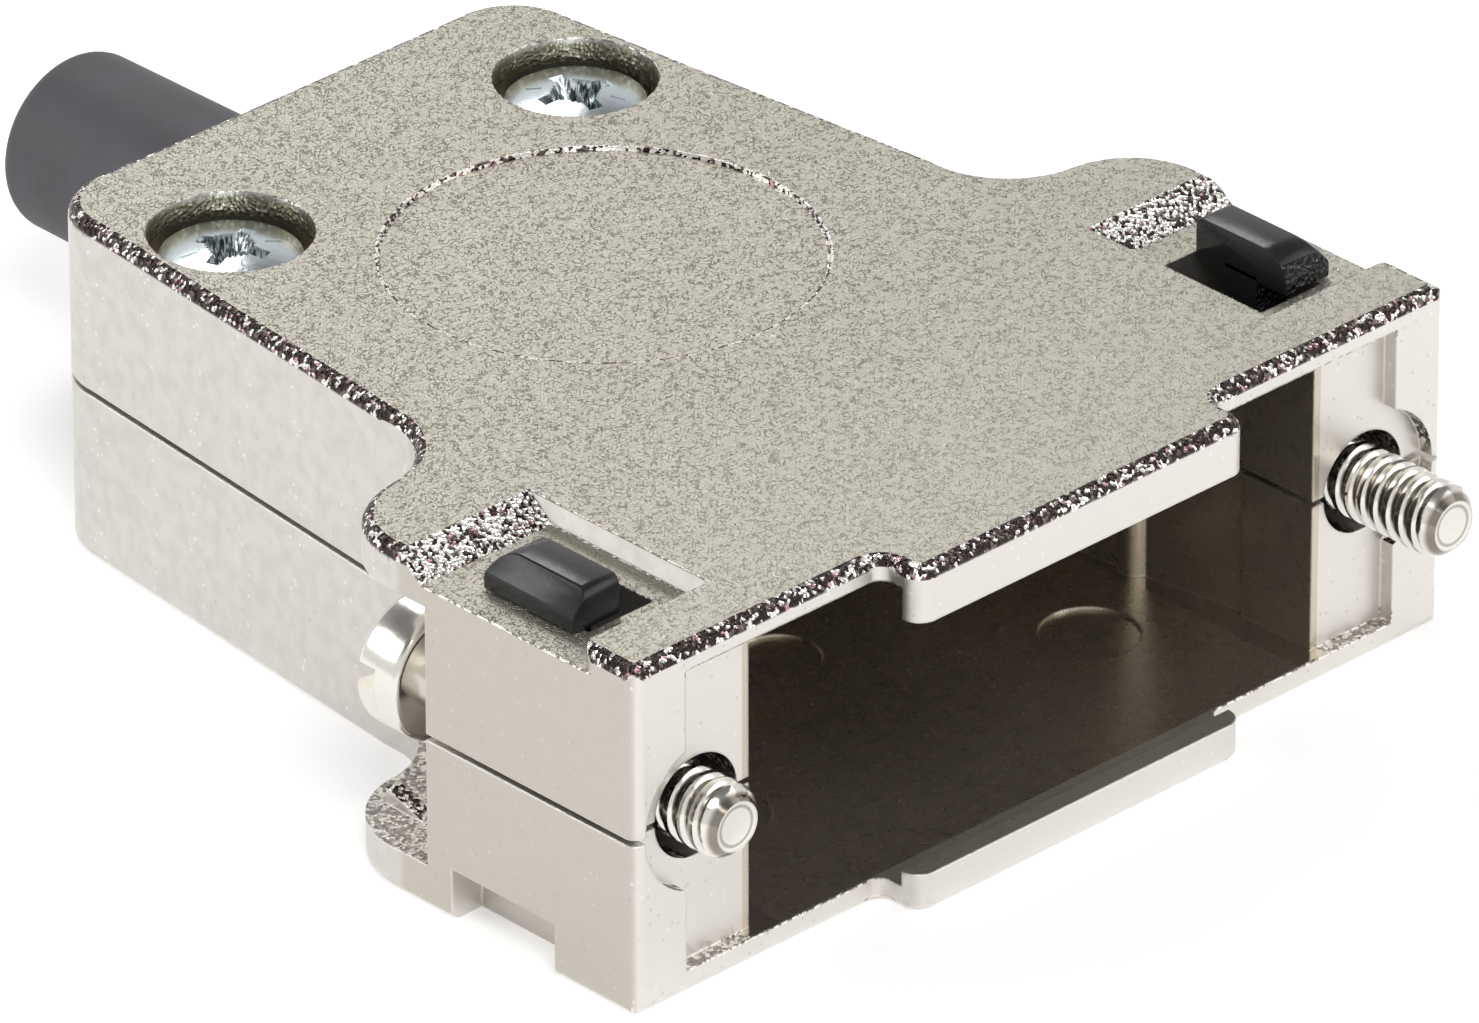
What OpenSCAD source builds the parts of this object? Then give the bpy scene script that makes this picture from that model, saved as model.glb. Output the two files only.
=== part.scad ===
// Two-shell die-cast hood for a 15-way D-sub cable connector.
// X runs across the hood, the mating face looks along -Y, the cable leaves along +Y
// and the hood lies flat on z = 0.

/* [Overall] */
// Width over the two ears
ear_width = 40.4; // [40:0.1:41]
// Height over both shells
height = 14; // [13.6:0.1:14.4]
// Length from the mating face to the rear wall
body_length = 40.2; // [39.6:0.1:41]
// Open groove between the two shells
part_gap = 0.25; // [0.1:0.05:0.4]

/* [Plan outline] */
// Half width of the body just behind the shoulders
neck_x = 13.7; // [13.5:0.05:13.9]
// Radius of both arcs of a shoulder
shoulder_r = 3.5; // [3.2:0.1:3.8]
// Where the straight side of an ear ends
shoulder_y = 12.5; // [12.2:0.1:12.8]
// Side taper of the body in degrees
taper = 5.7; // [5:0.1:6.2]
// Radius of the rear vertical corners
rear_r = 2.8; // [2.4:0.1:3.2]
// Radius of the front vertical corners of the ears
ear_corner_r = 0.5; // [0.3:0.1:0.7]
// Overlap that makes neighbouring arcs and lines cross cleanly
lap = 0.02; // [0.01:0.01:0.03]
// Rounding of the top outer edge
top_edge_r = 0.6; // [0.4:0.05:0.65]
// Rounding of the bottom outer edge
base_edge_r = 0.45; // [0.3:0.05:0.6]

/* [Walls] */
// Thickness of the top and bottom plates
plate = 0.95; // [0.85:0.05:1.1]
// Thickness of the body side walls
wall = 1.2; // [1.1:0.05:1.3]
// Thickness of the rear wall
rear_wall = 1.3; // [1.2:0.05:1.5]
// Half width of the mouth at the mating face
mouth_x = 14.1; // [14:0.05:14.2]
// Depth of the first straight part of the mouth
mouth_depth = 4.2; // [4:0.1:4.4]
// Half width just behind the first straight part
mouth_step_x = 14.35; // [14.3:0.05:14.4]
// Half width of the cavity where the ears end
throat_x = 13.28; // [13.2:0.02:13.3]
// Radius of the upright rib on each mouth wall
rib_r = 0.7; // [0.6:0.05:0.8]
// Distance of the upright rib from the mating face
rib_y = 9.3; // [9:0.1:9.6]

/* [Shell joint] */
// Thickness of the tongue on the lower shell
tongue_t = 0.4; // [0.35:0.05:0.45]
// Height of the tongue above the lower shell
tongue_h = 0.9; // [0.7:0.1:1.1]
// Clearance around the tongue
tongue_gap = 0.1; // [0.08:0.02:0.14]
// Where the tongue starts behind the shoulders
tongue_y = 20.5; // [20:0.5:22]

/* [Ears] */
// Distance of a jackscrew axis from the middle
screw_x = 16.66; // [16.6:0.02:16.7]
// Rear face of the ears
ear_depth = 10.65; // [10.5:0.05:10.8]
// Depth of the step in the mating face of the ears
face_step = 0.6; // [0.4:0.05:0.8]
// Width of the proud outer strip of an ear face
strip_w = 2.5; // [2.3:0.1:2.7]
// Radius of the round relief in the proud strip
relief_r = 3; // [2.8:0.1:3.2]
// Radius of the jackscrew hole
hole_r = 2; // [1.97:0.01:2.1]

/* [Side windows] */
// Thickness of the overhangs above and below a window
overhang = 1.75; // [1.6:0.05:1.8]
// Half width over the inner walls of the windows
window_x = 13.85; // [13.8:0.05:13.9]
// Radius of the fillet between window wall and lower shelf
shelf_fillet = 0.9; // [0.6:0.1:1]
// Length of the wedge rib on the lower shelf
wedge_l = 2.4; // [2:0.1:2.8]
// Height of the wedge rib on the lower shelf
wedge_h = 0.7; // [0.5:0.1:0.9]
// Width of the wedge rib on the lower shelf
wedge_w = 0.65; // [0.5:0.05:0.9]

/* [Top pockets] */
// Front wall of a pocket
pocket_y = 2.8; // [2.7:0.05:2.9]
// Length of the flat pocket floor
pocket_l = 8; // [7.9:0.05:8.1]
// Length of the ramp behind the floor
ramp_l = 1.2; // [1:0.1:1.3]
// Half width over the inner walls of the pockets
pocket_x = 13.9; // [13.8:0.1:14]
// Size of the strip that backs the pocket floor in the corner of the mouth
strip_back = 1.1; // [1:0.1:1.2]
// Rounding of the free end of the bar in front of a pocket
bar_r = 0.8; // [0.5:0.1:1]

/* [Side notches] */
// Depth of the notch in the side of the lower shell
notch_d = 1.45; // [1.2:0.05:1.6]
// Height of the notch
notch_h = 2.1; // [1.9:0.1:2.3]
// Front of the notch
notch_y = 4.1; // [3.9:0.1:4.3]
// Length of the notch
notch_l = 5.3; // [5:0.1:5.6]

/* [Retaining tabs] */
// Width of the tabs
tab_w = 16.4; // [16:0.1:16.8]
// Reach of the tabs in front of the mating face
tab_y = 1.9; // [1.8:0.05:2]
// Thickness of the lips
lip_t = 0.85; // [0.8:0.05:0.95]
// Height of the upper lip
lip_h_top = 2.2; // [2:0.1:2.4]
// Height of the lower lip
lip_h_base = 1.55; // [1.4:0.05:1.7]
// Radius of the outer corners of a tab
tab_corner_r = 0.8; // [0.7:0.05:0.9]
// Radius where a tab meets the mating face
tab_root_r = 0.6; // [0.5:0.05:0.7]

/* [Cover screws] */
// Distance of a cover screw from the middle
cover_x = 8.6; // [8.5:0.05:8.7]
// Distance of the cover screws from the rear face
cover_back = 6.8; // [6.6:0.1:7]
// Radius of the screw recess
recess_r = 3.1; // [3:0.05:3.15]
// Depth of the screw recess
recess_d = 2.5; // [2.3:0.1:2.7]
// Radius of the upper boss around a recess
upper_boss_r = 3.9; // [3.8:0.05:4]
// Thickness under the screw head
seat_t = 1.2; // [1:0.1:1.4]
// Radius of the boss posts
post_r = 2.4; // [2.3:0.05:2.45]
// Radius of the screw head
cover_head_r = 2.65; // [2.6:0.05:2.7]
// Height of the screw head at its rim
cover_head_h = 1.5; // [1.4:0.05:1.6]
// Rise of the domed top of the head
cover_dome = 0.3; // [0.2:0.05:0.4]
// Radius of the screw thread
cover_thread_r = 1.25; // [1.2:0.05:1.3]
// Length of the screw thread
cover_thread_l = 7.6; // [7:0.1:8]
// Clearance of the thread in the lower post
thread_fit = 0.04; // [0.02:0.01:0.06]
// Radius of the clearance hole in the upper post
cover_clear_r = 1.55; // [1.45:0.05:1.6]
// Width of the arms of the cross drive
cross_w = 0.75; // [0.6:0.05:0.9]
// Span of the cross drive
cross_l = 3; // [2.6:0.1:3.2]
// Depth of the cross drive
cross_d = 1; // [0.8:0.1:1.2]

/* [Jackscrews] */
// Radius of the jackscrew thread
thread_r = 1.4225; // [1.4:0.0025:1.4275]
// Radius of the head
head_r = 2.6; // [2.5:0.05:2.6]
// Length of the head
head_l = 2.1; // [2:0.1:2.2]
// Gap between the head of the right screw and its ear
head_gap = 0.15; // [0.1:0.05:0.3]
// Bevel on both rims of the head
head_bevel = 0.25; // [0.15:0.05:0.3]
// Width of the driver slot
slot_w = 0.8; // [0.7:0.05:0.9]
// Depth of the driver slot
slot_d = 1; // [0.8:0.1:1.1]
// Length of the bevel at the tip
tip_bevel = 0.45; // [0.3:0.05:0.6]
// Radius of the neck held by the clip
neck_r = 1; // [0.9:0.05:1.05]
// Distance of the left tip in front of the mating face
tip_left = 1.5; // [1.4:0.1:1.6]
// Distance of the right tip in front of the mating face
tip_right = 4; // [3.8:0.1:4.2]

/* [Clips] */
// Distance of the clips from the mating face
clip_y = 6.8; // [6.6:0.05:6.95]
// Travel of a clip each way in its pocket
travel = 1.6; // [1.2:0.1:1.6]
// Width of a clip
clip_w = 2.25; // [2.1:0.05:2.35]
// Length of a clip
clip_l = 4.6; // [4.5:0.05:4.6]
// Place of the flat inner side, from the screw axis towards the middle
clip_in = 0.1; // [0:0.05:0.3]
// Height of the crest above the top face
clip_rise = 0.66; // [0.5:0.02:0.8]
// Drop of the outer shoulder below the top face
clip_drop = 0.25; // [0.1:0.05:0.4]
// Width of the low crested top
clip_top_w = 1.65; // [1.5:0.05:1.8]
// Fall of the top from its crest to its edge
clip_fall = 0.12; // [0.1:0.01:0.2]
// Radius of the rounded end
clip_end_r = 1.2; // [0.9:0.1:1.3]
// Radius of the top edge at the square end
clip_heel_r = 0.4; // [0.3:0.05:0.6]
// Gap between clip and pocket floor
clip_gap = 0.05; // [0.04:0.01:0.1]
// Length of the fork under a clip
fork_l = 1.6; // [1.4:0.05:1.7]
// Width of the fork
fork_w = 3; // [2.9:0.05:3.05]
// Clearance of the fork on the neck and in its slot
fork_fit = 0.05; // [0.04:0.01:0.08]
// Reach of the fork below the screw axis
fork_reach = 0.6; // [0.4:0.1:0.8]

/* [Cable boot] */
// Rise of the cable axis above the joint of the shells
cable_rise = 0.6; // [0:0.1:0.7]
// Radius of the boot where it leaves the shells
boot_r = 3.65; // [3.55:0.05:3.7]
// Radius of the boot near its end
boot_end_r = 3.55; // [3.5:0.05:3.6]
// Reach of the boot behind the rear wall
boot_l = 11.8; // [11.4:0.1:12.2]
// Radius of the cable bore
bore_r = 2.25; // [2.1:0.05:2.4]
// Rounding of the boot end
boot_round = 0.7; // [0.5:0.1:0.9]
// Radius of the collar held inside the rear wall
collar_r = 4.3; // [4.1:0.1:4.4]
// Thickness of the collar
collar_t = 1.6; // [1.4:0.1:1.8]
// Radius of the hole in the rear wall
port_r = 3.1; // [3:0.05:3.2]
// Clearance of the boot groove in the wall
boot_gap = 0.1; // [0.06:0.02:0.14]

/* [Cable clamp] */
// Distance of the clamp from the rear face
clamp_back = 6.8; // [6.4:0.1:7.2]
// Length of the clamp strap along the cable
clamp_l = 3.6; // [3.4:0.1:3.8]
// Thickness of the clamp strap
clamp_t = 0.8; // [0.7:0.05:0.9]
// Gap between the strap and its seat
clamp_gap = 0.05; // [0.03:0.01:0.1]
// Thickness of the web that joins the two posts
clamp_web_t = 1.6; // [1.2:0.1:2]
// Gap between cable space and strap
clamp_play = 0.15; // [0.1:0.05:0.2]
// Distance of a clamp screw from the middle
clamp_x = 4.45; // [4.4:0.05:4.5]
// Radius of a clamp post
clamp_post_r = 1.3; // [1.25:0.05:1.35]
// Height of the clamp feet above the floor
clamp_foot_z = 4.2; // [4:0.1:4.4]
// Radius of the clamp screw thread
clamp_thread_r = 0.75; // [0.7:0.05:0.8]
// Radius of the clamp screw head
clamp_head_r = 1.2; // [1.15:0.05:1.25]
// Height of the clamp screw head
clamp_head_h = 0.9; // [0.8:0.05:1]
// Width of the slot in the clamp screw head
clamp_slot_w = 0.4; // [0.3:0.05:0.5]
// Depth of the slot in the clamp screw head
clamp_slot_d = 0.45; // [0.3:0.05:0.6]

/* [Marks] */
// Radius of the plain sunk field on the top
field_r = 8.2; // [8:0.1:8.4]
// Depth of the plain sunk field
field_d = 0.15; // [0.1:0.01:0.2]
// Distance of the field centre from the rear face
field_back = 17.4; // [17.2:0.1:17.6]
// Radius of the side ejector marks in the cavity floor
ejector_r = 1.9; // [1.7:0.1:2.1]
// Radius of the middle ejector mark
ejector_mid_r = 1.6; // [1.4:0.1:1.8]
// Depth of the ejector marks
ejector_d = 0.12; // [0.08:0.02:0.16]
// Distance of the side ejector marks from the middle
ejector_x = 9.3; // [8.5:0.1:10]
// Distance of the side ejector marks from the mating face
ejector_y = 7.1; // [6.5:0.1:8]
// Distance of the middle ejector mark from the mating face
ejector_mid_y = 13.7; // [12.5:0.1:15]

/* [Hidden] */
$fn = 64;
// margin by which cutting bodies run past a face
over = 0.5;
// overlap inside one casting
weld = 0.1;
// step that keeps one rounding surface clear of the next
edge_lap = 0.01;
mid_z = height / 2;
base_top = mid_z - part_gap / 2;
lid_base = mid_z + part_gap / 2;
half_ear = ear_width / 2;
outer_c = [half_ear - shoulder_r, shoulder_y];
inner_cx = neck_x + shoulder_r;
inner_cy = shoulder_y + sqrt(4 * shoulder_r * shoulder_r - pow(inner_cx - outer_c[0], 2));
inner_c = [inner_cx, inner_cy];
arc_turn = atan2(inner_cy - outer_c[1], inner_cx - outer_c[0]);
pocket_z = height - plate;
ramp_y = pocket_y + pocket_l;
recess_z = height - recess_d;
seat_z = recess_z - seat_t;
cover_y = body_length - cover_back;
clamp_y = body_length - clamp_back;
field_y = body_length - field_back;
cable_z = mid_z + cable_rise;
shank_l = ear_depth + head_gap + tip_right;
fork_half = fork_l / 2 + fork_fit;
neck_from = clip_y + tip_left - fork_half;
neck_to = clip_y + tip_right + fork_half;
cradle_r = bore_r + clamp_play;
clamp_foot_w = clamp_x + clamp_head_r + clamp_play;
clamp_seat_z = plate + clamp_foot_z;
cavity_end = body_length - rear_wall;

// ---------- plan shapes ----------

// start of the tapered side at a given inset
function side_start(inset) = [
  inner_c[0] - (shoulder_r + inset - lap) * cos(taper),
  inner_c[1] + (shoulder_r + inset - lap) * sin(taper)
];

// half width of the tapered side at a given distance back
function side_x(inset, y) =
  side_start(inset)[0] - (y - side_start(inset)[1]) * tan(taper);

// centre of the rear corner arc, the same for every inset
function corner_c(inset) =
  let(y = body_length - rear_r)
  [side_x(inset, y) - (rear_r - inset) / cos(taper), y];

// right half of the outline of a shell, moved inwards by inset
module half_outline(inset) {
  c = corner_c(inset);
  rc = rear_r - inset;
  ex = half_ear - inset;
  difference() {
    union() {
      polygon([
        [0, inset],
        [ex - ear_corner_r, inset],
        [ex - ear_corner_r, inset + ear_corner_r],
        [ex, inset + ear_corner_r],
        [ex, outer_c[1]],
        outer_c,
        inner_c,
        side_start(inset),
        [c[0] + rc * cos(taper), c[1] + rc * sin(taper)],
        c,
        [c[0], body_length - inset],
        [0, body_length - inset]
      ]);
      translate(outer_c) circle(r = shoulder_r - inset + lap);
      translate(c) circle(r = rc + lap);
      translate([ex - ear_corner_r, inset + ear_corner_r]) circle(r = ear_corner_r + lap / 2);
    }
    translate(inner_c) circle(r = shoulder_r + inset);
  }
}

module outline(inset) {
  half_outline(inset);
  mirror([1, 0]) half_outline(inset);
}

// right half of a retaining tab in front of the mating face
module half_tab() {
  hw = tab_w / 2;
  difference() {
    union() {
      polygon([
        [0, -tab_y],
        [hw - tab_corner_r, -tab_y],
        [hw - tab_corner_r, tab_corner_r - tab_y],
        [hw, tab_corner_r - tab_y],
        [hw, -tab_root_r],
        [hw + tab_root_r, -tab_root_r],
        [hw + tab_root_r, weld],
        [0, weld]
      ]);
      translate([hw - tab_corner_r, tab_corner_r - tab_y]) circle(r = tab_corner_r + lap / 2);
    }
    translate([hw + tab_root_r, -tab_root_r]) circle(r = tab_root_r + lap / 2);
  }
}

module tab_outline() {
  half_tab();
  mirror([1, 0]) half_tab();
}

// the hollow between the walls, open at the mating face
module cavity_outline() {
  xr = side_x(wall, cavity_end);
  xs = side_x(wall, inner_c[1]);
  polygon([
    [-mouth_x, -over],
    [mouth_x, -over],
    [mouth_x, mouth_depth],
    [mouth_step_x, mouth_depth],
    [throat_x, ear_depth + face_step],
    [xs, inner_c[1]],
    [xr, cavity_end],
    [-xr, cavity_end],
    [-xs, inner_c[1]],
    [-throat_x, ear_depth + face_step],
    [-mouth_step_x, mouth_depth],
    [-mouth_x, mouth_depth]
  ]);
}

// ---------- rounding cutters ----------

// waste outside a quarter round of radius r, corner at the origin, outside is -X and +Y
module waste(r, grow) {
  d = r - edge_lap;
  difference() {
    translate([-over, -d]) square([over + d, over + d]);
    translate([d, -d]) circle(r = r + grow);
  }
}

// waste along a straight edge that starts at p and runs in direction dir
module straight_cut(p, dir, len, r) {
  translate([p[0], p[1], 0]) rotate([0, 0, dir])
    rotate([90, 0, 90]) linear_extrude(height = len) waste(r, 0);
}

// waste around an outward arc of radius ra
module outer_arc_cut(c, ra, from, sweep, r) {
  translate([c[0], c[1], 0]) rotate([0, 0, from])
    rotate_extrude(angle = sweep) translate([ra, 0]) mirror([1, 0]) waste(r, edge_lap);
}

// waste around an inward arc of radius ra
module inner_arc_cut(c, ra, from, sweep, r) {
  translate([c[0], c[1], 0]) rotate([0, 0, from])
    rotate_extrude(angle = sweep) intersection() {
      translate([ra, 0]) waste(r, 2 * edge_lap);
      translate([ra / 4, -ra]) square([ra * 2, ra * 2]);
    }
}

// all the waste along the right half of a shell edge, top plane at z = 0
module half_edge_waste(r) {
  s = side_start(0);
  c = corner_c(0);
  hw = tab_w / 2;
  side_len = (c[1] + rear_r * sin(taper) - s[1]) / cos(taper);
  straight_cut([hw + tab_root_r, 0], 0, half_ear - hw, r);
  straight_cut([half_ear, -over], 90, shoulder_y + over, r);
  outer_arc_cut(outer_c, shoulder_r, 0, arc_turn, r);
  inner_arc_cut(inner_c, shoulder_r, 180 - taper, arc_turn + taper, r);
  straight_cut(s, 90 + taper, side_len, r);
  outer_arc_cut(c, rear_r, taper, 90 - taper, r);
  straight_cut([c[0], body_length], 180, c[0] + weld, r);
  straight_cut([-weld, -tab_y], 0, hw - tab_corner_r + weld, r);
  outer_arc_cut([hw - tab_corner_r, tab_corner_r - tab_y], tab_corner_r, -90, 90, r);
  straight_cut([hw, tab_corner_r - tab_y], 90, tab_y - tab_corner_r - tab_root_r, r);
  inner_arc_cut([hw + tab_root_r, -tab_root_r], tab_root_r, 90, 90, r);
}

module edge_waste(r) {
  half_edge_waste(r);
  mirror([1, 0, 0]) half_edge_waste(r);
}

// ---------- features shared by both shells ----------

module both_sides() {
  children();
  mirror([1, 0, 0]) children();
}

// bore of a jackscrew with the step and round relief of the ear face
module ear_bore() {
  translate([screw_x, -over, mid_z]) rotate([-90, 0, 0])
    cylinder(r = hole_r, h = ear_depth + 2 * over);
  translate([screw_x, -over, mid_z]) rotate([-90, 0, 0])
    cylinder(r = relief_r, h = face_step + over);
  translate([mouth_x - over, -over, plate])
    cube([half_ear - strip_w - mouth_x + over, face_step + over, height - 2 * plate]);
}

// open side window behind an ear
module window_cut() {
  translate([window_x, ear_depth, overhang])
    cube([half_ear, inner_c[1] - ear_depth, height - 2 * overhang]);
}

// hole for the boot in the rear wall
module port_cut() {
  translate([0, cavity_end - over, cable_z]) rotate([-90, 0, 0])
    cylinder(r = port_r, h = rear_wall + 2 * over);
}

// strip in the upper corner of the mouth, under the inner edge of a pocket
module pocket_backing() {
  x1 = mouth_step_x + weld;
  z1 = pocket_z + weld;
  translate([0, ramp_y + ramp_l + weld, 0]) rotate([90, 0, 0])
    linear_extrude(height = ramp_y + ramp_l + weld - mouth_depth / 2)
      polygon([[x1 - strip_back, z1], [x1, z1 - strip_back], [x1, z1]]);
}

module wall_rib(z0, z1) {
  translate([throat_x + rib_r - weld, rib_y, z0]) cylinder(r = rib_r, h = z1 - z0);
}

// ---------- shells ----------

// tongue that closes the joint behind the shoulders
module tongue_outline(t0, t1) {
  difference() {
    outline(t0);
    difference() {
      outline(t1);
      translate([-half_ear, cavity_end - weld]) square([ear_width, rear_wall]);
    }
    translate([-half_ear, -over]) square([ear_width, tongue_y + over]);
    translate([-half_ear, cavity_end - weld]) square([ear_width, rear_wall + over]);
  }
}

// fillet body and wedge rib on the lower shelf of a window
module shelf_details() {
  translate([window_x - weld, ear_depth - weld, overhang - weld]) rotate([-90, 0, 0])
    mirror([0, 1, 0]) linear_extrude(height = shoulder_y - ear_depth + shoulder_r - weld)
      difference() {
        square(shelf_fillet + weld);
        translate([shelf_fillet + weld, shelf_fillet + weld]) circle(r = shelf_fillet);
      }
  translate([half_ear - strip_w, shoulder_y - weld, overhang - weld]) rotate([90, 0, 90])
    linear_extrude(height = wedge_w)
      polygon([[0, 0], [wedge_l, 0], [wedge_l, wedge_h + weld]]);
}

module lower_shell() {
  difference() {
    union() {
      difference() {
        union() {
          linear_extrude(height = base_top) outline(0);
          linear_extrude(height = plate) tab_outline();
          linear_extrude(height = lip_h_base) intersection() {
            tab_outline();
            translate([-tab_w, -tab_y - over]) square([2 * tab_w, lip_t + over]);
          }
        }
        mirror([0, 0, 1]) edge_waste(base_edge_r);
        translate([0, 0, plate]) linear_extrude(height = height) cavity_outline();
        both_sides() window_cut();
        both_sides() translate([half_ear - notch_d, notch_y, -over])
          cube([notch_d + over, notch_l, notch_h + over]);
      }
      translate([0, 0, base_top - weld]) linear_extrude(height = tongue_h + weld)
        tongue_outline(wall - tongue_t, wall);
      both_sides() wall_rib(plate - weld, base_top);
      both_sides() shelf_details();
      both_sides() translate([cover_x, cover_y, plate - weld])
        cylinder(r = post_r, h = mid_z - plate + weld);
      both_sides() translate([clamp_x, clamp_y, plate - weld])
        cylinder(r = clamp_post_r, h = clamp_foot_z + weld);
      translate([-clamp_x, clamp_y - clamp_web_t / 2, plate - weld])
        cube([2 * clamp_x, clamp_web_t, clamp_foot_z + weld]);
    }
    both_sides() ear_bore();
    port_cut();
    translate([0, clamp_y - clamp_l, cable_z]) rotate([-90, 0, 0])
      cylinder(r = cradle_r, h = 2 * clamp_l);
    both_sides() translate([cover_x, cover_y, recess_z - cover_thread_l - over])
      cylinder(r = cover_thread_r + thread_fit, h = cover_thread_l);
    both_sides() translate([clamp_x, clamp_y, plate + over])
      cylinder(r = clamp_thread_r + thread_fit, h = clamp_foot_z);
    both_sides() translate([ejector_x, ejector_y, plate - ejector_d])
      cylinder(r = ejector_r, h = over);
    translate([0, ejector_mid_y, plate - ejector_d])
      cylinder(r = ejector_mid_r, h = over);
  }
}

// pocket with its ramp and the fork slot, cut from the top of an ear
module pocket_cut() {
  difference() {
    translate([0, 0, pocket_z]) rotate([90, 0, 90]) linear_extrude(height = half_ear + over)
      polygon([
        [pocket_y, 0],
        [ramp_y, 0],
        [ramp_y + ramp_l, plate],
        [ramp_y + ramp_l, plate + over],
        [pocket_y, plate + over]
      ]);
    translate([0, 0, pocket_z - over]) cube([pocket_x, body_length, plate + 3 * over]);
  }
  translate([screw_x - fork_w / 2 - fork_fit, clip_y - fork_half - travel, mid_z + neck_r])
    cube([fork_w + 2 * fork_fit, 2 * (fork_half + travel), mid_z]);
}

// waste outside the rounded free end of the bar in front of a pocket
module bar_end_cut() {
  translate([half_ear - bar_r, pocket_y - bar_r, pocket_z]) linear_extrude(height = plate + over)
    difference() {
      square(bar_r + over);
      circle(r = bar_r + edge_lap);
    }
}

module upper_shell() {
  difference() {
    union() {
      difference() {
        union() {
          translate([0, 0, lid_base]) linear_extrude(height = height - lid_base) outline(0);
          translate([0, 0, height - plate]) linear_extrude(height = plate) tab_outline();
          translate([0, 0, height - lip_h_top]) linear_extrude(height = lip_h_top) intersection() {
            tab_outline();
            translate([-tab_w, -tab_y - over]) square([2 * tab_w, lip_t + over]);
          }
        }
        translate([0, 0, height]) edge_waste(top_edge_r);
        translate([0, 0, -plate]) linear_extrude(height = height) cavity_outline();
        both_sides() window_cut();
      }
      both_sides() wall_rib(lid_base, height - plate + weld);
      both_sides() pocket_backing();
      intersection() {
        both_sides() translate([cover_x, cover_y, seat_z])
          cylinder(r = upper_boss_r, h = height - plate + weld - seat_z);
        linear_extrude(height = height) outline(wall / 2);
      }
      both_sides() translate([cover_x, cover_y, mid_z])
        cylinder(r = post_r, h = seat_z + weld - mid_z);
    }
    both_sides() ear_bore();
    both_sides() pocket_cut();
    both_sides() bar_end_cut();
    port_cut();
    both_sides() translate([cover_x, cover_y, recess_z])
      cylinder(r = recess_r, h = recess_d + over);
    both_sides() translate([cover_x, cover_y, mid_z - over])
      cylinder(r = cover_clear_r, h = height - mid_z);
    translate([0, 0, mid_z - over]) linear_extrude(height = over + tongue_h + tongue_gap)
      tongue_outline(wall - tongue_t - tongue_gap, wall + tongue_gap);
    translate([0, field_y, height - field_d]) cylinder(r = field_r, h = over);
  }
}

// ---------- small parts ----------

module cover_screw() {
  difference() {
    union() {
      cylinder(r = cover_head_r, h = cover_head_h);
      intersection() {
        cylinder(r = cover_head_r, h = cover_head_h + cover_dome);
        translate([0, 0, cover_head_h + cover_dome - dome_r()]) sphere(r = dome_r());
      }
      translate([0, 0, -cover_thread_l]) cylinder(r = cover_thread_r, h = cover_thread_l + weld);
    }
    translate([-cross_l / 2, -cross_w / 2, cover_head_h + cover_dome - cross_d])
      cube([cross_l, cross_w, cross_d + over]);
    translate([-cross_w / 2, -cross_l / 2, cover_head_h + cover_dome - cross_d])
      cube([cross_w, cross_l, cross_d + over]);
  }
}

// sphere radius of the domed screw head
function dome_r() = (cover_head_r * cover_head_r + cover_dome * cover_dome) / (2 * cover_dome);

// jackscrew with its tip at the origin, running along +Y
module jackscrew() {
  rotate([-90, 0, 0]) difference() {
    rotate_extrude() polygon([
      [0, 0],
      [thread_r - tip_bevel, 0],
      [thread_r, tip_bevel],
      [thread_r, neck_from],
      [neck_r, neck_from],
      [neck_r, neck_to],
      [thread_r, neck_to],
      [thread_r, shank_l],
      [head_r - head_bevel, shank_l],
      [head_r, shank_l + head_bevel],
      [head_r, shank_l + head_l - head_bevel],
      [head_r - head_bevel, shank_l + head_l],
      [0, shank_l + head_l]
    ]);
    translate([-head_r - over, -slot_w / 2, shank_l + head_l - slot_d])
      cube([2 * (head_r + over), slot_w, slot_d + over]);
  }
}

// side view of a clip's cap, rounded end towards +Y
module clip_side(floor_z, crest_z) {
  h = crest_z - floor_z;
  translate([-clip_l / 2, floor_z]) square([clip_l, h - clip_end_r]);
  translate([-clip_l / 2, floor_z]) square([clip_l - clip_end_r, h - clip_heel_r]);
  translate([clip_heel_r - clip_l / 2, floor_z]) square([clip_l - clip_heel_r - clip_end_r, h]);
  translate([clip_l / 2 - clip_end_r, crest_z - clip_end_r]) circle(r = clip_end_r);
  translate([clip_heel_r - clip_l / 2, crest_z - clip_heel_r]) circle(r = clip_heel_r);
}

// clip with the screw axis at x = 0, flat side towards +X and rounded end towards +Y
module screw_clip() {
  floor_z = pocket_z + clip_gap;
  crest_z = height + clip_rise;
  intersection() {
    translate([0, clip_l / 2, 0]) rotate([90, 0, 0]) linear_extrude(height = clip_l) polygon([
      [clip_in - clip_w, floor_z],
      [clip_in, floor_z],
      [clip_in, crest_z - clip_fall],
      [clip_in - clip_top_w / 2, crest_z],
      [clip_in - clip_top_w, crest_z - clip_fall],
      [clip_in - clip_w, height - clip_drop]
    ]);
    translate([-clip_w - over, 0, 0]) rotate([90, 0, 90]) linear_extrude(height = clip_w + clip_in + 2 * over)
      clip_side(floor_z, crest_z);
  }
  difference() {
    translate([-fork_w / 2, -fork_l / 2, mid_z - fork_reach])
      cube([fork_w, fork_l, floor_z + weld - mid_z + fork_reach]);
    translate([0, -fork_l, mid_z]) rotate([-90, 0, 0]) cylinder(r = neck_r + fork_fit, h = 2 * fork_l);
    translate([-neck_r, -fork_l, 0]) cube([2 * neck_r, 2 * fork_l, mid_z]);
  }
}

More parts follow.
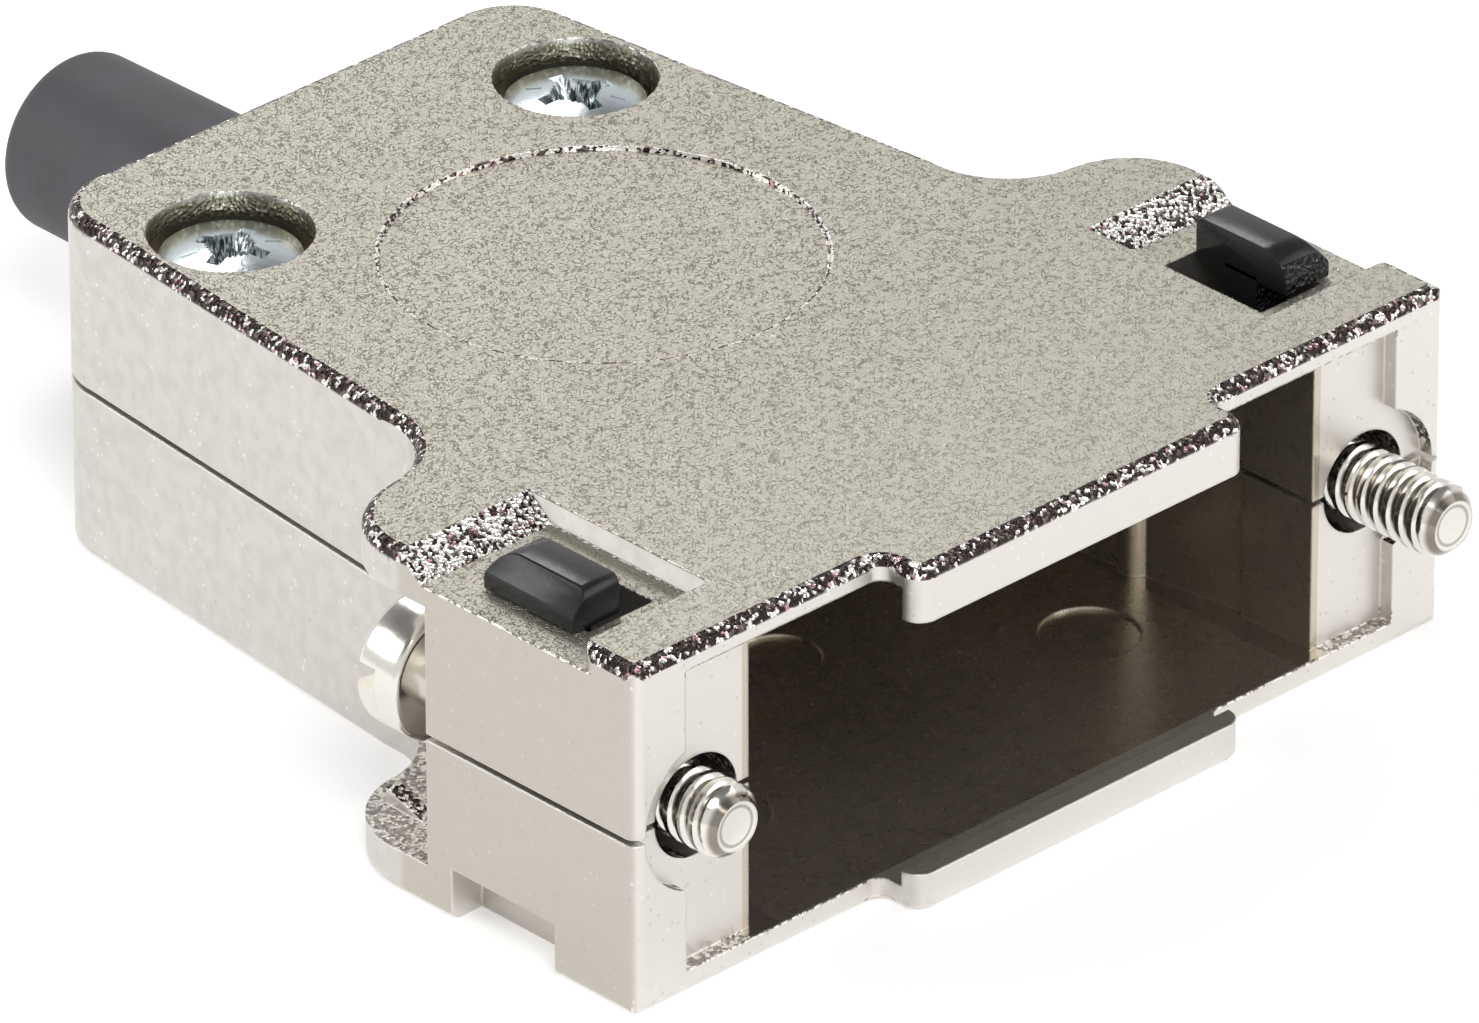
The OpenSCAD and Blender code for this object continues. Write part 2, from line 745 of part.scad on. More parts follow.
// boot around the cable axis, collar inside the rear wall
module cable_boot() {
  inner_end = cavity_end - boot_gap - collar_t;
  wall_in = cavity_end - boot_gap;
  wall_out = body_length + boot_gap;
  boot_end = body_length + boot_l;
  translate([0, 0, cable_z]) rotate([-90, 0, 0]) rotate_extrude() difference() {
    union() {
      polygon([
        [bore_r, inner_end],
        [collar_r, inner_end],
        [collar_r, wall_in],
        [port_r - boot_gap, wall_in],
        [port_r - boot_gap, wall_out],
        [boot_r, wall_out],
        [boot_end_r, boot_end - boot_round],
        [boot_end_r - boot_round, boot_end - boot_round],
        [boot_end_r - boot_round, boot_end],
        [bore_r, boot_end]
      ]);
      translate([boot_end_r - boot_round, boot_end - boot_round]) circle(r = boot_round);
    }
    translate([0, inner_end - over]) square([bore_r, boot_end - inner_end + 2 * over]);
  }
}

// strap over the cable, its feet on the clamp posts
module cable_clamp() {
  foot_z = clamp_seat_z + clamp_gap;
  r_out = cradle_r + clamp_t;
  difference() {
    translate([0, clamp_y + clamp_l / 2, 0]) rotate([90, 0, 0]) linear_extrude(height = clamp_l)
      difference() {
        union() {
          translate([0, cable_z]) circle(r = r_out);
          translate([-r_out, foot_z]) square([2 * r_out, cable_z - foot_z]);
          translate([-clamp_foot_w, foot_z]) square([2 * clamp_foot_w, clamp_t]);
        }
        translate([0, cable_z]) circle(r = cradle_r);
        translate([-cradle_r, 0]) square([2 * cradle_r, cable_z]);
      }
    both_sides() translate([clamp_x, clamp_y, foot_z - over])
      cylinder(r = clamp_thread_r + thread_fit, h = clamp_t + 2 * over);
  }
}

module clamp_screw() {
  difference() {
    union() {
      cylinder(r = clamp_head_r, h = clamp_head_h);
      translate([0, 0, -clamp_foot_z]) cylinder(r = clamp_thread_r, h = clamp_foot_z + weld);
    }
    translate([-clamp_head_r - over, -clamp_slot_w / 2, clamp_head_h - clamp_slot_d])
      cube([2 * (clamp_head_r + over), clamp_slot_w, clamp_slot_d + over]);
  }
}

// place of one clamp screw, its head on the strap
module clamp_screw_at(side) {
  translate([side * clamp_x, clamp_y, clamp_seat_z + 2 * clamp_gap + clamp_t]) clamp_screw();
}

// ---------- nodes ----------

color("silver") lower_shell();
color("gainsboro") upper_shell();
color("lightsteelblue") translate([-cover_x, cover_y, recess_z]) cover_screw();  // cover_screw_left
color("lightsteelblue") translate([cover_x, cover_y, recess_z]) cover_screw();  // cover_screw_right
color("lightgray") translate([-screw_x, -tip_left, mid_z]) jackscrew();  // jackscrew_left
color("lightgray") translate([screw_x, -tip_right, mid_z]) jackscrew();  // jackscrew_right
color("dimgray") translate([-screw_x, clip_y, 0]) screw_clip();  // screw_clip_left
color("dimgray") translate([screw_x, clip_y, 0]) rotate([0, 0, 180]) screw_clip();  // screw_clip_right
color("darkslategray") cable_boot();
color("gray") cable_clamp();
color("lightgray") clamp_screw_at(-1);  // clamp_screw_left
color("lightgray") clamp_screw_at(1);  // clamp_screw_right
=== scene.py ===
"""Looks of a two-shell D-sub connector hood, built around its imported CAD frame."""

import logging
import math
from collections.abc import Sequence
from dataclasses import dataclass
from enum import Enum
from functools import partial

import bmesh
import bpy
from mathutils import Matrix, Vector


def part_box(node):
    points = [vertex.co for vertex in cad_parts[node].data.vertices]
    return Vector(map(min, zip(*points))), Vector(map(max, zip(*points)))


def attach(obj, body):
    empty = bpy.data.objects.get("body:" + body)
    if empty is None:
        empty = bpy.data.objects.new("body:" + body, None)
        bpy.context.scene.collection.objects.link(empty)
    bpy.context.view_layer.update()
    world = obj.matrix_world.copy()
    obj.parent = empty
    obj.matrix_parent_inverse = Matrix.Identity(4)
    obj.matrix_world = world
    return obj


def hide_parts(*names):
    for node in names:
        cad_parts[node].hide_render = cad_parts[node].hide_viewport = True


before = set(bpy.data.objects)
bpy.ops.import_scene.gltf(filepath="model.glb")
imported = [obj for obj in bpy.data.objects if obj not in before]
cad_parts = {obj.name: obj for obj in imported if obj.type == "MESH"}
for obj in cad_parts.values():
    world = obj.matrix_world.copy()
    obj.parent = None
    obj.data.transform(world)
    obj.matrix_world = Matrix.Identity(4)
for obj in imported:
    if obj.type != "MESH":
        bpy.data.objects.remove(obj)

LOG = logging.getLogger("hood")
MM = 0.001
MERGE = 1e-7  # metres, well under any real edge here
Node = bpy.types.Node
Span = tuple[float, float]
Triple = tuple[float, float, float]
Profile = Sequence[Span]
ROUND = {"profile": 0.5, "affect": "EDGES", "material": -1, "clamp_overlap": True}


class Side(Enum):
    """The two sides of the hood, as the sign of X."""

    LEFT = -1
    RIGHT = 1

    @property
    def word(self) -> str:
        """Lower-case name used in node names."""
        return self.name.lower()


# ---- small tools


def linear(hex_colour: str) -> tuple[float, float, float, float]:
    """Turn an sRGB hex colour into linear RGBA.

    Args:
        hex_colour: Six hex digits with a leading hash.

    Returns:
        Linear red, green, blue and an alpha of one.
    """
    channels = [int(hex_colour[i : i + 2], 16) / 255 for i in (1, 3, 5)]
    red, green, blue = (c / 12.92 if c <= 0.04045 else ((c + 0.055) / 1.055) ** 2.4 for c in channels)
    return red, green, blue, 1.0


def per_mm(size_mm: float) -> float:
    """Texture scale that gives a pattern of this size in millimetres."""
    return 1.0 / (size_mm * MM)


def add(
    tree: bpy.types.NodeTree, kind: str, *values: object, sockets: dict | None = None, **settings: object
) -> Node:
    """Add a shader node, set its properties and fill or link its inputs.

    Args:
        tree: Node tree that receives the node.
        kind: Node type name without the common prefix, with the node's operation after it where it has one.
        *values: Values, output sockets or nodes for the inputs in their order.
        sockets: The same for inputs given by name or number.
        **settings: Properties of the node itself.

    Returns:
        The new node, which stands for its first enabled output when it is used as a value.
    """
    kind, *operation = kind.split()
    made = tree.nodes.new("ShaderNode" + kind)
    for name, value in (*settings.items(), *(("operation", word) for word in operation)):
        setattr(made, name, value)
    for socket, value in [*enumerate(values), *(sockets or {}).items()]:
        if isinstance(value, Node):
            value = next(out for out in value.outputs if out.enabled)
        if isinstance(value, bpy.types.NodeSocket):
            tree.links.new(value, made.inputs[socket])
        else:
            made.inputs[socket].default_value = value
    return made


def new_material(name: str) -> tuple[bpy.types.Material, partial]:
    """Make an empty material.

    Args:
        name: Name of the material.

    Returns:
        The material and the add function bound to its node tree.
    """
    material = bpy.data.materials.new(name)
    material.use_nodes = True
    material.node_tree.nodes.clear()
    return material, partial(add, material.node_tree)


# ---- finishes


class Surface:
    """Where a shaded point lies in the hood's frame and how it faces, as sockets."""

    def __init__(self, node: partial) -> None:
        """Read the object's own coordinates and normal with a material's add function."""
        coords = node("TexCoord")
        self.node = node
        self.spot = coords.outputs["Object"]
        self.x, self.y, self.z = node("SeparateXYZ", self.spot).outputs
        self.across = node("Math ABSOLUTE", self.x)
        self.facing = node("SeparateXYZ", coords.outputs["Normal"]).outputs

    def every(self, size_mm: float, **more: float) -> dict[str, object]:
        """Inputs of a texture whose pattern has this size in millimetres."""
        return {"Vector": self.spot, "Scale": per_mm(size_mm), **more}

    def within(self, *ranges: tuple[object, object, object]) -> Node:
        """Share that is 1 where every value lies between its limits and 0 elsewhere.

        Args:
            *ranges: Value, lower limit and upper limit, None where there is no limit.

        Returns:
            The share.
        """
        share = 1.0
        for value, low, high in ranges:
            for limit, wanted in ((low, "GREATER_THAN"), (high, "LESS_THAN")):
                if limit is not None:
                    test = self.node(f"Math {wanted}", value, limit)
                    share = self.node("Math MULTIPLY", share, test)
        return share

    def apart(self, value: object, centre: float) -> Node:
        """Distance of a value from a centre."""
        return self.node("Math ABSOLUTE", self.node("Math SUBTRACT", value, centre))

    def around(self, first: object, second: object, axis: Span) -> tuple[Node, object]:
        """Place beside an axis that runs along the third direction.

        Args:
            first: First part of the point's place.
            second: Second part of the point's place.
            axis: The same two parts of the axis.

        Returns:
            The flat vector from the axis to the point, and its length.
        """
        parts = [self.node("Math SUBTRACT", part, centre) for part, centre in zip((first, second), axis)]
        flat = self.node("CombineXYZ", *parts)
        return flat, self.node("VectorMath LENGTH", flat).outputs["Value"]


@dataclass(frozen=True)
class CastFinish:
    """Zinc die casting under bright nickel.

    The die gives the lid a leather grain and leaves the sides smooth, a satin warm grey under the nickel.
    Rounded edges keep the rough skin of the die, a crowd of tiny mirrors; their dark and white glints are
    painted into the colour, one tone per facet.
    The hollow sees only itself and goes nearly black; its walls are also painted a little darker, as painted
    shade. The patterns are coarser than real, so that they show.

    Args:
        name: Name of the material.
        top_colour: Nickel on the grained lid, painted a little darker than the sides for the shade of its
            grain.
        crease_shade_colour: Painted shade at the bottom of the creases.
        front_light_colour: Nickel on the smooth front faces, painted lighter than the sides as a painted
            reflection of the bright floor.
        side_colour: Nickel on the smooth sides of the body.
        ear_colour: Nickel on the sides of the ears, darker than the other sides.
        mottle_colour: Faint cloud in the plating of the sides.
        highlight_and_speck_colour: Painted highlight along sharp edges, and bright specks.
        speck_colour: Dark specks.
        glint_colours: Painted dark, middle, pink and white glints on the facets of the rough skin.
        glint_steps: Where each of these tones begins.
        recess_shade_colour: Painted shade on the walls of the screw recesses.
        hollow_shade_colour: Painted shade on the walls of the hollow, a little darker than the outside.
        lid_z: Heights where the grain of the lid sets in.
        top_z: Height of the lid.
        hollow_x: Half width of the hollow between the ears.
        hollow_y: Front and rear end of the hollow.
        hollow_z: Floor and roof of the hollow.
        roof_lean: Shift that tells the roof of the hollow from the floor of a pocket.
        ear_depth: Rear face of the ears.
        taper: Half width of the hollow behind the ears, carried on to y = 0, and its slope.
        recess: Axis and radius of a screw recess.
        recess_z: Heights where the painted shade on its wall sets in.
        field: Axis and radius of the sunk field, and the width of the painted highlight line round it.
        shelf_x: Where the shelves under the side windows begin.
        shelf_z: Heights where their rough skin sets in.
        pocket: Inner wall, start of the ramp, end of the ramp and floor of a pocket.
        lip_y: Places where the painted glints along the edge of the mouth end.
        lip_z: Heights where it ends.
        ear_x: Where the sides of the ears begin.
        ear_y: Places where they end.
        floor_z: Heights where rough skin sets in above the underside.
        softer_y: Places where the grain grows to its full strength.
        crease_mm: Spacing of the creases.
        break_mm: Size of the patches that break the creases up.
        spark_mm: Size of the facets.
        fine_mm: Size of the finest grain.
        mottle_mm: Size of the clouds.
        speck_mm: Spacing of the specks.
        edge_mm: Width of the softened edges, and of the painted highlight along sharp edges.
        depths: Depth of the creases, the finest grain and the facets.
        lean: How far the draught of the pocket walls tilts their normal up.
        glint_lifts: Extra painted brightness of the glints on edges, ramps and shelves.
        satin: Roughness of the plating.
        shine: Change of the roughness on rough skin, on the lid, in the hollow and by the clouds.
    """

    name: str = "bright_nickel_on_zinc_die_casting"
    top_colour: str = "#c0bcb0"
    crease_shade_colour: str = "#827c6f"
    front_light_colour: str = "#e0dcd6"
    side_colour: str = "#d3cfca"
    ear_colour: str = "#bfb9af"
    mottle_colour: str = "#ccc8c2"
    highlight_and_speck_colour: str = "#f6f3ee"
    speck_colour: str = "#a0998e"
    glint_colours: tuple[str, ...] = ("#3a302e", "#71665f", "#c29aa2", "#fbf8f2")
    glint_steps: tuple[float, ...] = (0.0, 0.58, 0.74, 0.78)
    recess_shade_colour: str = "#a09a80"
    hollow_shade_colour: str = "#c9c1b3"
    lid_z: Span = (12.6 * MM, 12.9 * MM)
    top_z: float = 14.0 * MM
    hollow_x: float = 14.42 * MM
    hollow_y: Span = (0.1 * MM, 39.1 * MM)
    hollow_z: Span = (0.7 * MM, 13.0 * MM)
    roof_lean: float = 0.2 * MM
    ear_depth: float = 10.65 * MM
    taper: Span = (14.8 * MM, 0.1)
    recess: Triple = (8.6 * MM, 33.4 * MM, 3.16 * MM)
    recess_z: Span = (14.0 * MM, 13.7 * MM)
    field: tuple[float, float, float, float] = (0.0, 22.8 * MM, 8.2 * MM, 0.12 * MM)
    shelf_x: float = 13.0 * MM
    shelf_z: Span = (3.4 * MM, 2.8 * MM)
    pocket: tuple[float, float, float, float] = (13.9 * MM, 10.75 * MM, 12.1 * MM, 13.06 * MM)
    lip_y: Span = (1.0 * MM, 0.8 * MM)
    lip_z: Span = (1.5 * MM, 1.3 * MM)
    ear_x: float = 18.0 * MM
    ear_y: Span = (12.2 * MM, 11.8 * MM)
    floor_z: Span = (0.4 * MM, 0.9 * MM)
    softer_y: Span = (2.0 * MM, 14.0 * MM)
    crease_mm: float = 0.2
    break_mm: float = 0.32
    spark_mm: float = 0.15
    fine_mm: float = 0.1
    mottle_mm: float = 0.7
    speck_mm: float = 0.3
    edge_mm: float = 0.14
    depths: Triple = (0.05 * MM, 0.008 * MM, 0.08 * MM)
    lean: float = 1.1
    glint_lifts: Triple = (0.36, 0.33, 0.3)
    satin: float = 0.36
    shine: tuple[float, float, float, float] = (-0.2, 0.06, -0.12, 0.08)

    def material(self) -> bpy.types.Material:
        """Build one material for both shells, its regions told apart by place and by facing."""
        material, node = new_material(self.name)
        at = Surface(node)
        steep = node("Math ABSOLUTE", at.facing[2])
        on_lid = node("MapRange", at.z, *self.lid_z)
        level = node("MapRange", steep, 0.95, 0.99, interpolation_type="SMOOTHSTEP")
        grained = node("Math MULTIPLY", level, on_lid)
        inner, recess, shelf = self.inside(at), self.near_screws(at), self.shelf(at)
        soft = node("Bevel", self.edge_mm * MM, samples=4)
        sharp = self.sharp_edges(node, soft)
        edge = node("Math MAXIMUM", sharp, self.field_edge(at))
        lip_y, lip_z = node("MapRange", at.y, *self.lip_y), node("MapRange", at.z, *self.lip_z)
        glint_zone = node("Math MAXIMUM", on_lid, node("Math MULTIPLY", lip_y, lip_z))
        crisp = node("Math MULTIPLY", edge, glint_zone)
        skin = node("Math MULTIPLY_ADD", recess, 0.3, self.roundings(at, steep))
        skin = node("Math MAXIMUM", skin, shelf)
        rough = node("Math MAXIMUM", skin, crisp)

        # Painted highlight: the glints on edges, ramps and shelves are lifted brighter in the colour.
        on_edge, on_ramp, on_shelf = self.glint_lifts
        ramps = node("Math MULTIPLY", self.ramps(at), on_ramp)
        lift = node("Math MAXIMUM", node("Math MULTIPLY", crisp, on_edge), ramps)
        lift = node("Math MULTIPLY_ADD", shelf, on_shelf, lift)
        facets = node("TexVoronoi", sockets=at.every(self.spark_mm))
        grain = self.grain(at)
        # Painted shade: the creases of the lid's grain are darkened in the colour.
        painted_crease_shade = node("Math MULTIPLY", grain, 0.9)
        lid = {0: painted_crease_shade, 6: linear(self.top_colour), 7: linear(self.crease_shade_colour)}
        colour = self.sides(at)
        for share, coat in (
            # Painted shade on the walls of the screw recesses.
            (grained, node("Mix", data_type="RGBA", sockets=lid)), (recess, linear(self.recess_shade_colour)),
            # Painted highlight: sharp edges are lightened in the colour.
            (node("Math MULTIPLY", sharp, 0.6), linear(self.highlight_and_speck_colour)),
            # Painted glints on the rough skin, then painted shade on the walls of the hollow.
            (rough, self.painted_glints(node, facets, lift)), (inner, linear(self.hollow_shade_colour)),
        ):
            colour = node("Mix", data_type="RGBA", sockets={0: share, 6: colour, 7: coat})

        clouds = node("TexNoise", sockets=at.every(self.mottle_mm, Detail=3.0))
        shine = self.satin
        for share, change in zip((rough, grained, inner, clouds), self.shine):
            shine = node("Math MULTIPLY_ADD", share, change, shine)

        crease, finest, facet = self.depths
        height = node("Math MULTIPLY", grain, node("Math MULTIPLY", grained, -crease))
        fine = node("TexNoise", sockets=at.every(self.fine_mm, Detail=2.0))
        height = node("Math MULTIPLY_ADD", fine, finest, height)
        outer = node("Math MULTIPLY", node("Math SUBTRACT", 1.0, inner), facet)
        height = node("Math MULTIPLY_ADD", facets, node("Math MULTIPLY", skin, outer), height)
        bump = node("Bump", sockets={"Height": height, "Distance": 1.0, "Normal": soft})
        draught = node("CombineXYZ", 0.0, 0.0, node("Math MULTIPLY", self.pocket_walls(at), self.lean))
        leaning = node("VectorMath NORMALIZE", node("VectorMath ADD", bump, draught))
        inputs = {"Base Color": colour, "Metallic": 0.95, "Roughness": shine, "Normal": leaning}
        node("OutputMaterial", node("BsdfPrincipled", sockets=inputs))
        return material

    def inside(self, at: Surface) -> Node:
        """Share that is 1 on the walls of the hollow and 0 outside."""
        behind_ears = at.within((at.y, self.ear_depth, None))
        start, slope = self.taper
        wider = at.node("Math MULTIPLY_ADD", at.y, -slope, start - self.hollow_x)
        limit = at.node("Math MULTIPLY_ADD", wider, behind_ears, self.hollow_x)
        level = at.node("Math MULTIPLY_ADD", at.facing[2], self.roof_lean, at.z)
        return at.within((at.across, None, limit), (at.y, *self.hollow_y), (level, *self.hollow_z))

    def roundings(self, at: Surface, steep: Node) -> Node:
        """Share of rough die skin on roundings and ramps, with a ragged rim.

        Args:
            at: Where the point lies.
            steep: Upward part of the normal, without its sign.

        Returns:
            The share.
        """
        node = at.node
        noise = node("TexNoise", sockets=at.every(self.speck_mm, Detail=2.0))
        ragged = node("Math MULTIPLY_ADD", node("Math SUBTRACT", noise, 0.5), 0.05, steep)
        off_floor, share = node("MapRange", at.z, *self.floor_z), node("MapRange", ragged, 0.1, 0.3)
        for limit in (node("MapRange", ragged, 0.995, 0.97), off_floor):
            share = node("Math MULTIPLY", share, limit)
        return share

    def sharp_edges(self, node: partial, soft: Node) -> Node:
        """Share that is 1 along sharp edges, where the softened normal turns away from the true one."""
        straight = node("NewGeometry").outputs["Normal"]
        turn = node("VectorMath DOT_PRODUCT", soft, straight).outputs["Value"]
        return node("MapRange", turn, 0.99, 0.9)

    def ramps(self, at: Surface) -> Node:
        """Share that is 1 on the two ramps behind the clips."""
        wall, start, end, floor = self.pocket
        return at.within((at.across, wall, None), (at.y, start, end), (at.z, floor, None))

    def pocket_walls(self, at: Surface) -> Node:
        """Share that is 1 on the draughted inner walls of the pockets."""
        wall, _, end, floor = self.pocket
        off_wall, below_lid = at.apart(at.across, wall), self.top_z - 0.01 * MM
        return at.within((off_wall, None, 0.02 * MM), (at.z, floor, below_lid), (at.y, None, end))

    def field_edge(self, at: Surface) -> Node:
        """Share that is 1 on the painted highlight line round the sunk field of the lid."""
        *axis, radius, width = self.field
        _, reach = at.around(at.x, at.y, axis)
        return at.node("MapRange", at.apart(reach, radius), width, 0.5 * width)

    def shelf(self, at: Surface) -> Node:
        """Share of rough die skin on the shelves below the side windows."""
        share = at.within((at.across, self.shelf_x, None))
        upward = at.node("MapRange", at.facing[2], 0.2, 0.5, 0.0, 0.6)
        for limit in (at.node("MapRange", at.z, *self.shelf_z), upward):
            share = at.node("Math MULTIPLY", share, limit)
        return share

    def near_screws(self, at: Surface) -> Node:
        """Share that is 1 on the walls of the two screw recesses."""
        *axis, radius = self.recess
        _, reach = at.around(at.across, at.y, axis)
        below_lid = at.node("MapRange", at.z, *self.recess_z)
        return at.node("Math MULTIPLY", at.within((reach, None, radius)), below_lid)

    def grain(self, at: Surface) -> Node:
        """Leather grain, 1 in a crease and 0 between, softer towards the mouth."""
        node = at.node
        noise = node("TexNoise", sockets=at.every(self.crease_mm, Detail=1.0, Distortion=0.3))
        share = node("MapRange", at.apart(noise, 0.5), 0.075, 0.0, interpolation_type="SMOOTHSTEP")
        breaks = node("TexNoise", sockets=at.every(self.break_mm, Detail=1.0))
        softer = node("MapRange", at.y, *self.softer_y, 0.55, 1.0)
        for part in (node("MapRange", breaks, 0.42, 0.56, 0.15, 1.0), softer):
            share = node("Math MULTIPLY", share, part)
        return share

    def sides(self, at: Surface) -> Node:
        """Colour of the smooth faces: a faint mottle and sparse specks, front faces painted lighter than the
        sides, the ear sides darker.
        """
        node = at.node
        mottle = node("TexNoise", sockets=at.every(self.mottle_mm, Detail=4.0))
        beside = node("MapRange", node("Math ABSOLUTE", at.facing[0]), 0.6, 0.9)
        ear = node("Math MULTIPLY", at.within((at.across, self.ear_x, None)), 0.85)
        for part in (node("MapRange", at.y, *self.ear_y), beside):
            ear = node("Math MULTIPLY", ear, part)
        dots = node("TexVoronoi", sockets=at.every(self.speck_mm))
        near = node("MapRange", dots.outputs["Distance"], 0.3, 0.12)
        pick = node("SeparateXYZ", dots.outputs["Color"]).outputs
        specks = []
        for chance, rarity, strength in ((pick[0], 0.86, 0.6), (pick[1], 0.93, 0.3)):
            picked = node("Math MULTIPLY", at.within((chance, rarity, None)), strength)
            specks.append(node("Math MULTIPLY", near, picked))
        colour = linear(self.side_colour)
        for share, coat in (
            (node("MapRange", mottle, 0.4, 0.65), self.mottle_colour),
            # Painted reflection: front faces are painted lighter than the sides.
            (node("Math SUBTRACT", 1.0, beside), self.front_light_colour),
            (ear, self.ear_colour), (specks[0], self.highlight_and_speck_colour), (specks[1], self.speck_colour),
        ):
            colour = node("Mix", data_type="RGBA", sockets={0: share, 6: colour, 7: linear(coat)})
        return colour

    def painted_glints(self, node: partial, facets: Node, lift: Node) -> Node:
        """Painted glints on the rough skin: one dark or bright tone for each tiny facet, brighter with the
        lift.
        """
        pick = node("Math ADD", node("SeparateXYZ", facets.outputs["Color"]).outputs[0], lift)
        tones = node("ValToRGB", pick)
        tones.color_ramp.interpolation = "CONSTANT"
        stops = tones.color_ramp.elements
        for position in self.glint_steps[2:]:
            stops.new(position)
        for stop, position, colour in zip(stops, self.glint_steps, self.glint_colours):
            stop.position = position
            stop.color = linear(colour)
        return tones


@dataclass(frozen=True)
class MetalFinish:
    """Turned steel under a thin plating: bright, with fine marks from the tool that blur its reflections.

    Between the threads of the jackscrews a brown shade is painted, and their tips carry a painted dark ring.
    In the cross recess the heading punch drew flutes down the walls; their dark and bright flashes are
    painted reflections.

    Args:
        name: Name of the material.
        colour: Colour of the plating.
        roughness: Roughness of the plating.
        mark_mm: Spacing of the fine marks.
        depth: Depth of the fine marks.
        root_shade_colour: Painted shade between the threads, also used for the ring on a tip.
        root: Radii about a jackscrew's axis where that colour is full and where it ends.
        ring: Radius and half width of the ring on a tip.
        axis: Distance of a jackscrew's axis from the middle of the hood, and its height.
        cross: Place of a cover screw's axis, across and along, and the reach of its cross recess.
        cross_z: Heights where the recess begins and where it is full, under the crown of the head.
        dome: Rise and radius of the domed head.
        flute_mm: Width of the flutes.
        flute_reflection_colours: Painted dark and bright reflections on the flutes.
    """

    name: str
    colour: str
    roughness: float
    mark_mm: float = 0.15
    depth: float = 0.002 * MM
    root_shade_colour: str = "#6e6353"
    root: Span = (1.14 * MM, 1.3 * MM)
    ring: Span = (0.76 * MM, 0.09 * MM)
    axis: Span = (16.66 * MM, 7.0 * MM)
    cross: Triple = (8.6 * MM, 33.4 * MM, 1.95 * MM)
    cross_z: Span = (13.45 * MM, 13.3 * MM)
    dome: Span = (0.42 * MM, 2.65 * MM)
    flute_mm: float = 0.16
    flute_reflection_colours: tuple[str, str] = ("#4c5659", "#f1f5f5")

    def material(self) -> bpy.types.Material:
        """Build the plated steel material."""
        material, node = new_material(self.name)
        at = Surface(node)
        _, reach = at.around(at.across, at.z, self.axis)
        full, none = self.root
        # Painted shade: the roots of the thread are darkened in the colour.
        root_shade_and_ring = node("MapRange", reach, none, full, 0.0, 0.8, interpolation_type="SMOOTHSTEP")
        ahead = node("Math ABSOLUTE", at.facing[1])
        root_shade_and_ring = node("Math MULTIPLY", root_shade_and_ring, node("MapRange", ahead, 0.95, 0.85))
        radius, width = self.ring
        ring = node("MapRange", at.apart(reach, radius), width, width / 3, 0.0, 0.55)
        root_shade_and_ring = node("Math MAXIMUM", root_shade_and_ring, ring)
        colour = linear(self.colour)
        for share, coat in ((root_shade_and_ring, linear(self.root_shade_colour)), self.flutes(at)):
            colour = node("Mix", data_type="RGBA", sockets={0: share, 6: colour, 7: coat})
        marks = node("TexNoise", sockets=at.every(self.mark_mm, Detail=3.0))
        shine = node("Math MULTIPLY_ADD", marks, 0.14, self.roughness - 0.07)
        height = node("Math MULTIPLY", marks, self.depth)
        bump = node("Bump", sockets={"Height": height, "Distance": 1.0})
        inputs = {"Base Color": colour, "Metallic": 1.0, "Roughness": shine, "Normal": bump}
        node("OutputMaterial", node("BsdfPrincipled", sockets=inputs))
        return material

    def flutes(self, at: Surface) -> tuple[Node, Node]:
        """Share of the fluted walls in the cross recess of the cover screws, and their painted dark and
        bright reflections.
        """
        node = at.node
        *axis, limit = self.cross
        flat, away = at.around(at.across, at.y, axis)
        rise, radius = self.dome
        level = node("Math MULTIPLY", away, rise / radius**2)
        level = node("Math MULTIPLY_ADD", level, away, at.z)
        deep = node("MapRange", level, *self.cross_z, 0.0, 0.9)
        share = node("Math MULTIPLY", at.within((away, None, limit)), deep)
        # Painted reflections: the flutes flash dark and bright in the colour.
        drawn = node("TexNoise", sockets={"Vector": flat, "Scale": per_mm(self.flute_mm), "Detail": 1.0})
        dark, bright = map(linear, self.flute_reflection_colours)
        tone = node("MapRange", drawn, 0.44, 0.53)
        return share, node("Mix", data_type="RGBA", sockets={0: tone, 6: dark, 7: bright})


@dataclass(frozen=True)
class NylonFinish:
    """Injection-moulded black nylon: a dark satin skin, torn and glittering where the gate broke off.

    Args:
        name: Name of the material.
        colour: Colour of the compound.
        roughness: Roughness of the moulded skin.
        grain_mm: Size of the skin's grain.
        tear_mm: Size of the grain of the torn gate, at the mouth end of the right clip.
        tear_z: Heights where the torn patch sets in.
        depths: Depth of the skin's grain and of the torn grain.
    """

    name: str = "injection_moulded_black_nylon"
    colour: str = "#1c1c1f"
    roughness: float = 0.25
    grain_mm: float = 0.25
    tear_mm: float = 0.22
    tear_z: Span = (14.5 * MM, 14.2 * MM)
    depths: Span = (0.004 * MM, 0.2 * MM)

    def material(self) -> bpy.types.Material:
        """Build the nylon material."""
        material, node = new_material(self.name)
        at = Surface(node)
        fine, deep = self.depths
        torn = node("Math MULTIPLY", at.within((at.x, 0.0, None)), deep)
        for part in (node("MapRange", at.facing[1], -0.75, -0.9), node("MapRange", at.z, *self.tear_z)):
            torn = node("Math MULTIPLY", torn, part)
        grain = node("TexNoise", sockets=at.every(self.grain_mm, Detail=3.0))
        tear = node("TexVoronoi", sockets=at.every(self.tear_mm))
        shine = node("Math MULTIPLY_ADD", grain, 0.16, self.roughness - 0.08)
        height = node("Math MULTIPLY", grain, fine)
        height = node("Math MULTIPLY_ADD", tear, torn, height)
        bump = node("Bump", sockets={"Height": height, "Distance": 1.0})
        colour = linear(self.colour)
        inputs = {"Base Color": colour, "Roughness": shine, "Specular IOR Level": 0.4, "Normal": bump}
        node("OutputMaterial", node("BsdfPrincipled", sockets=inputs))
        return material


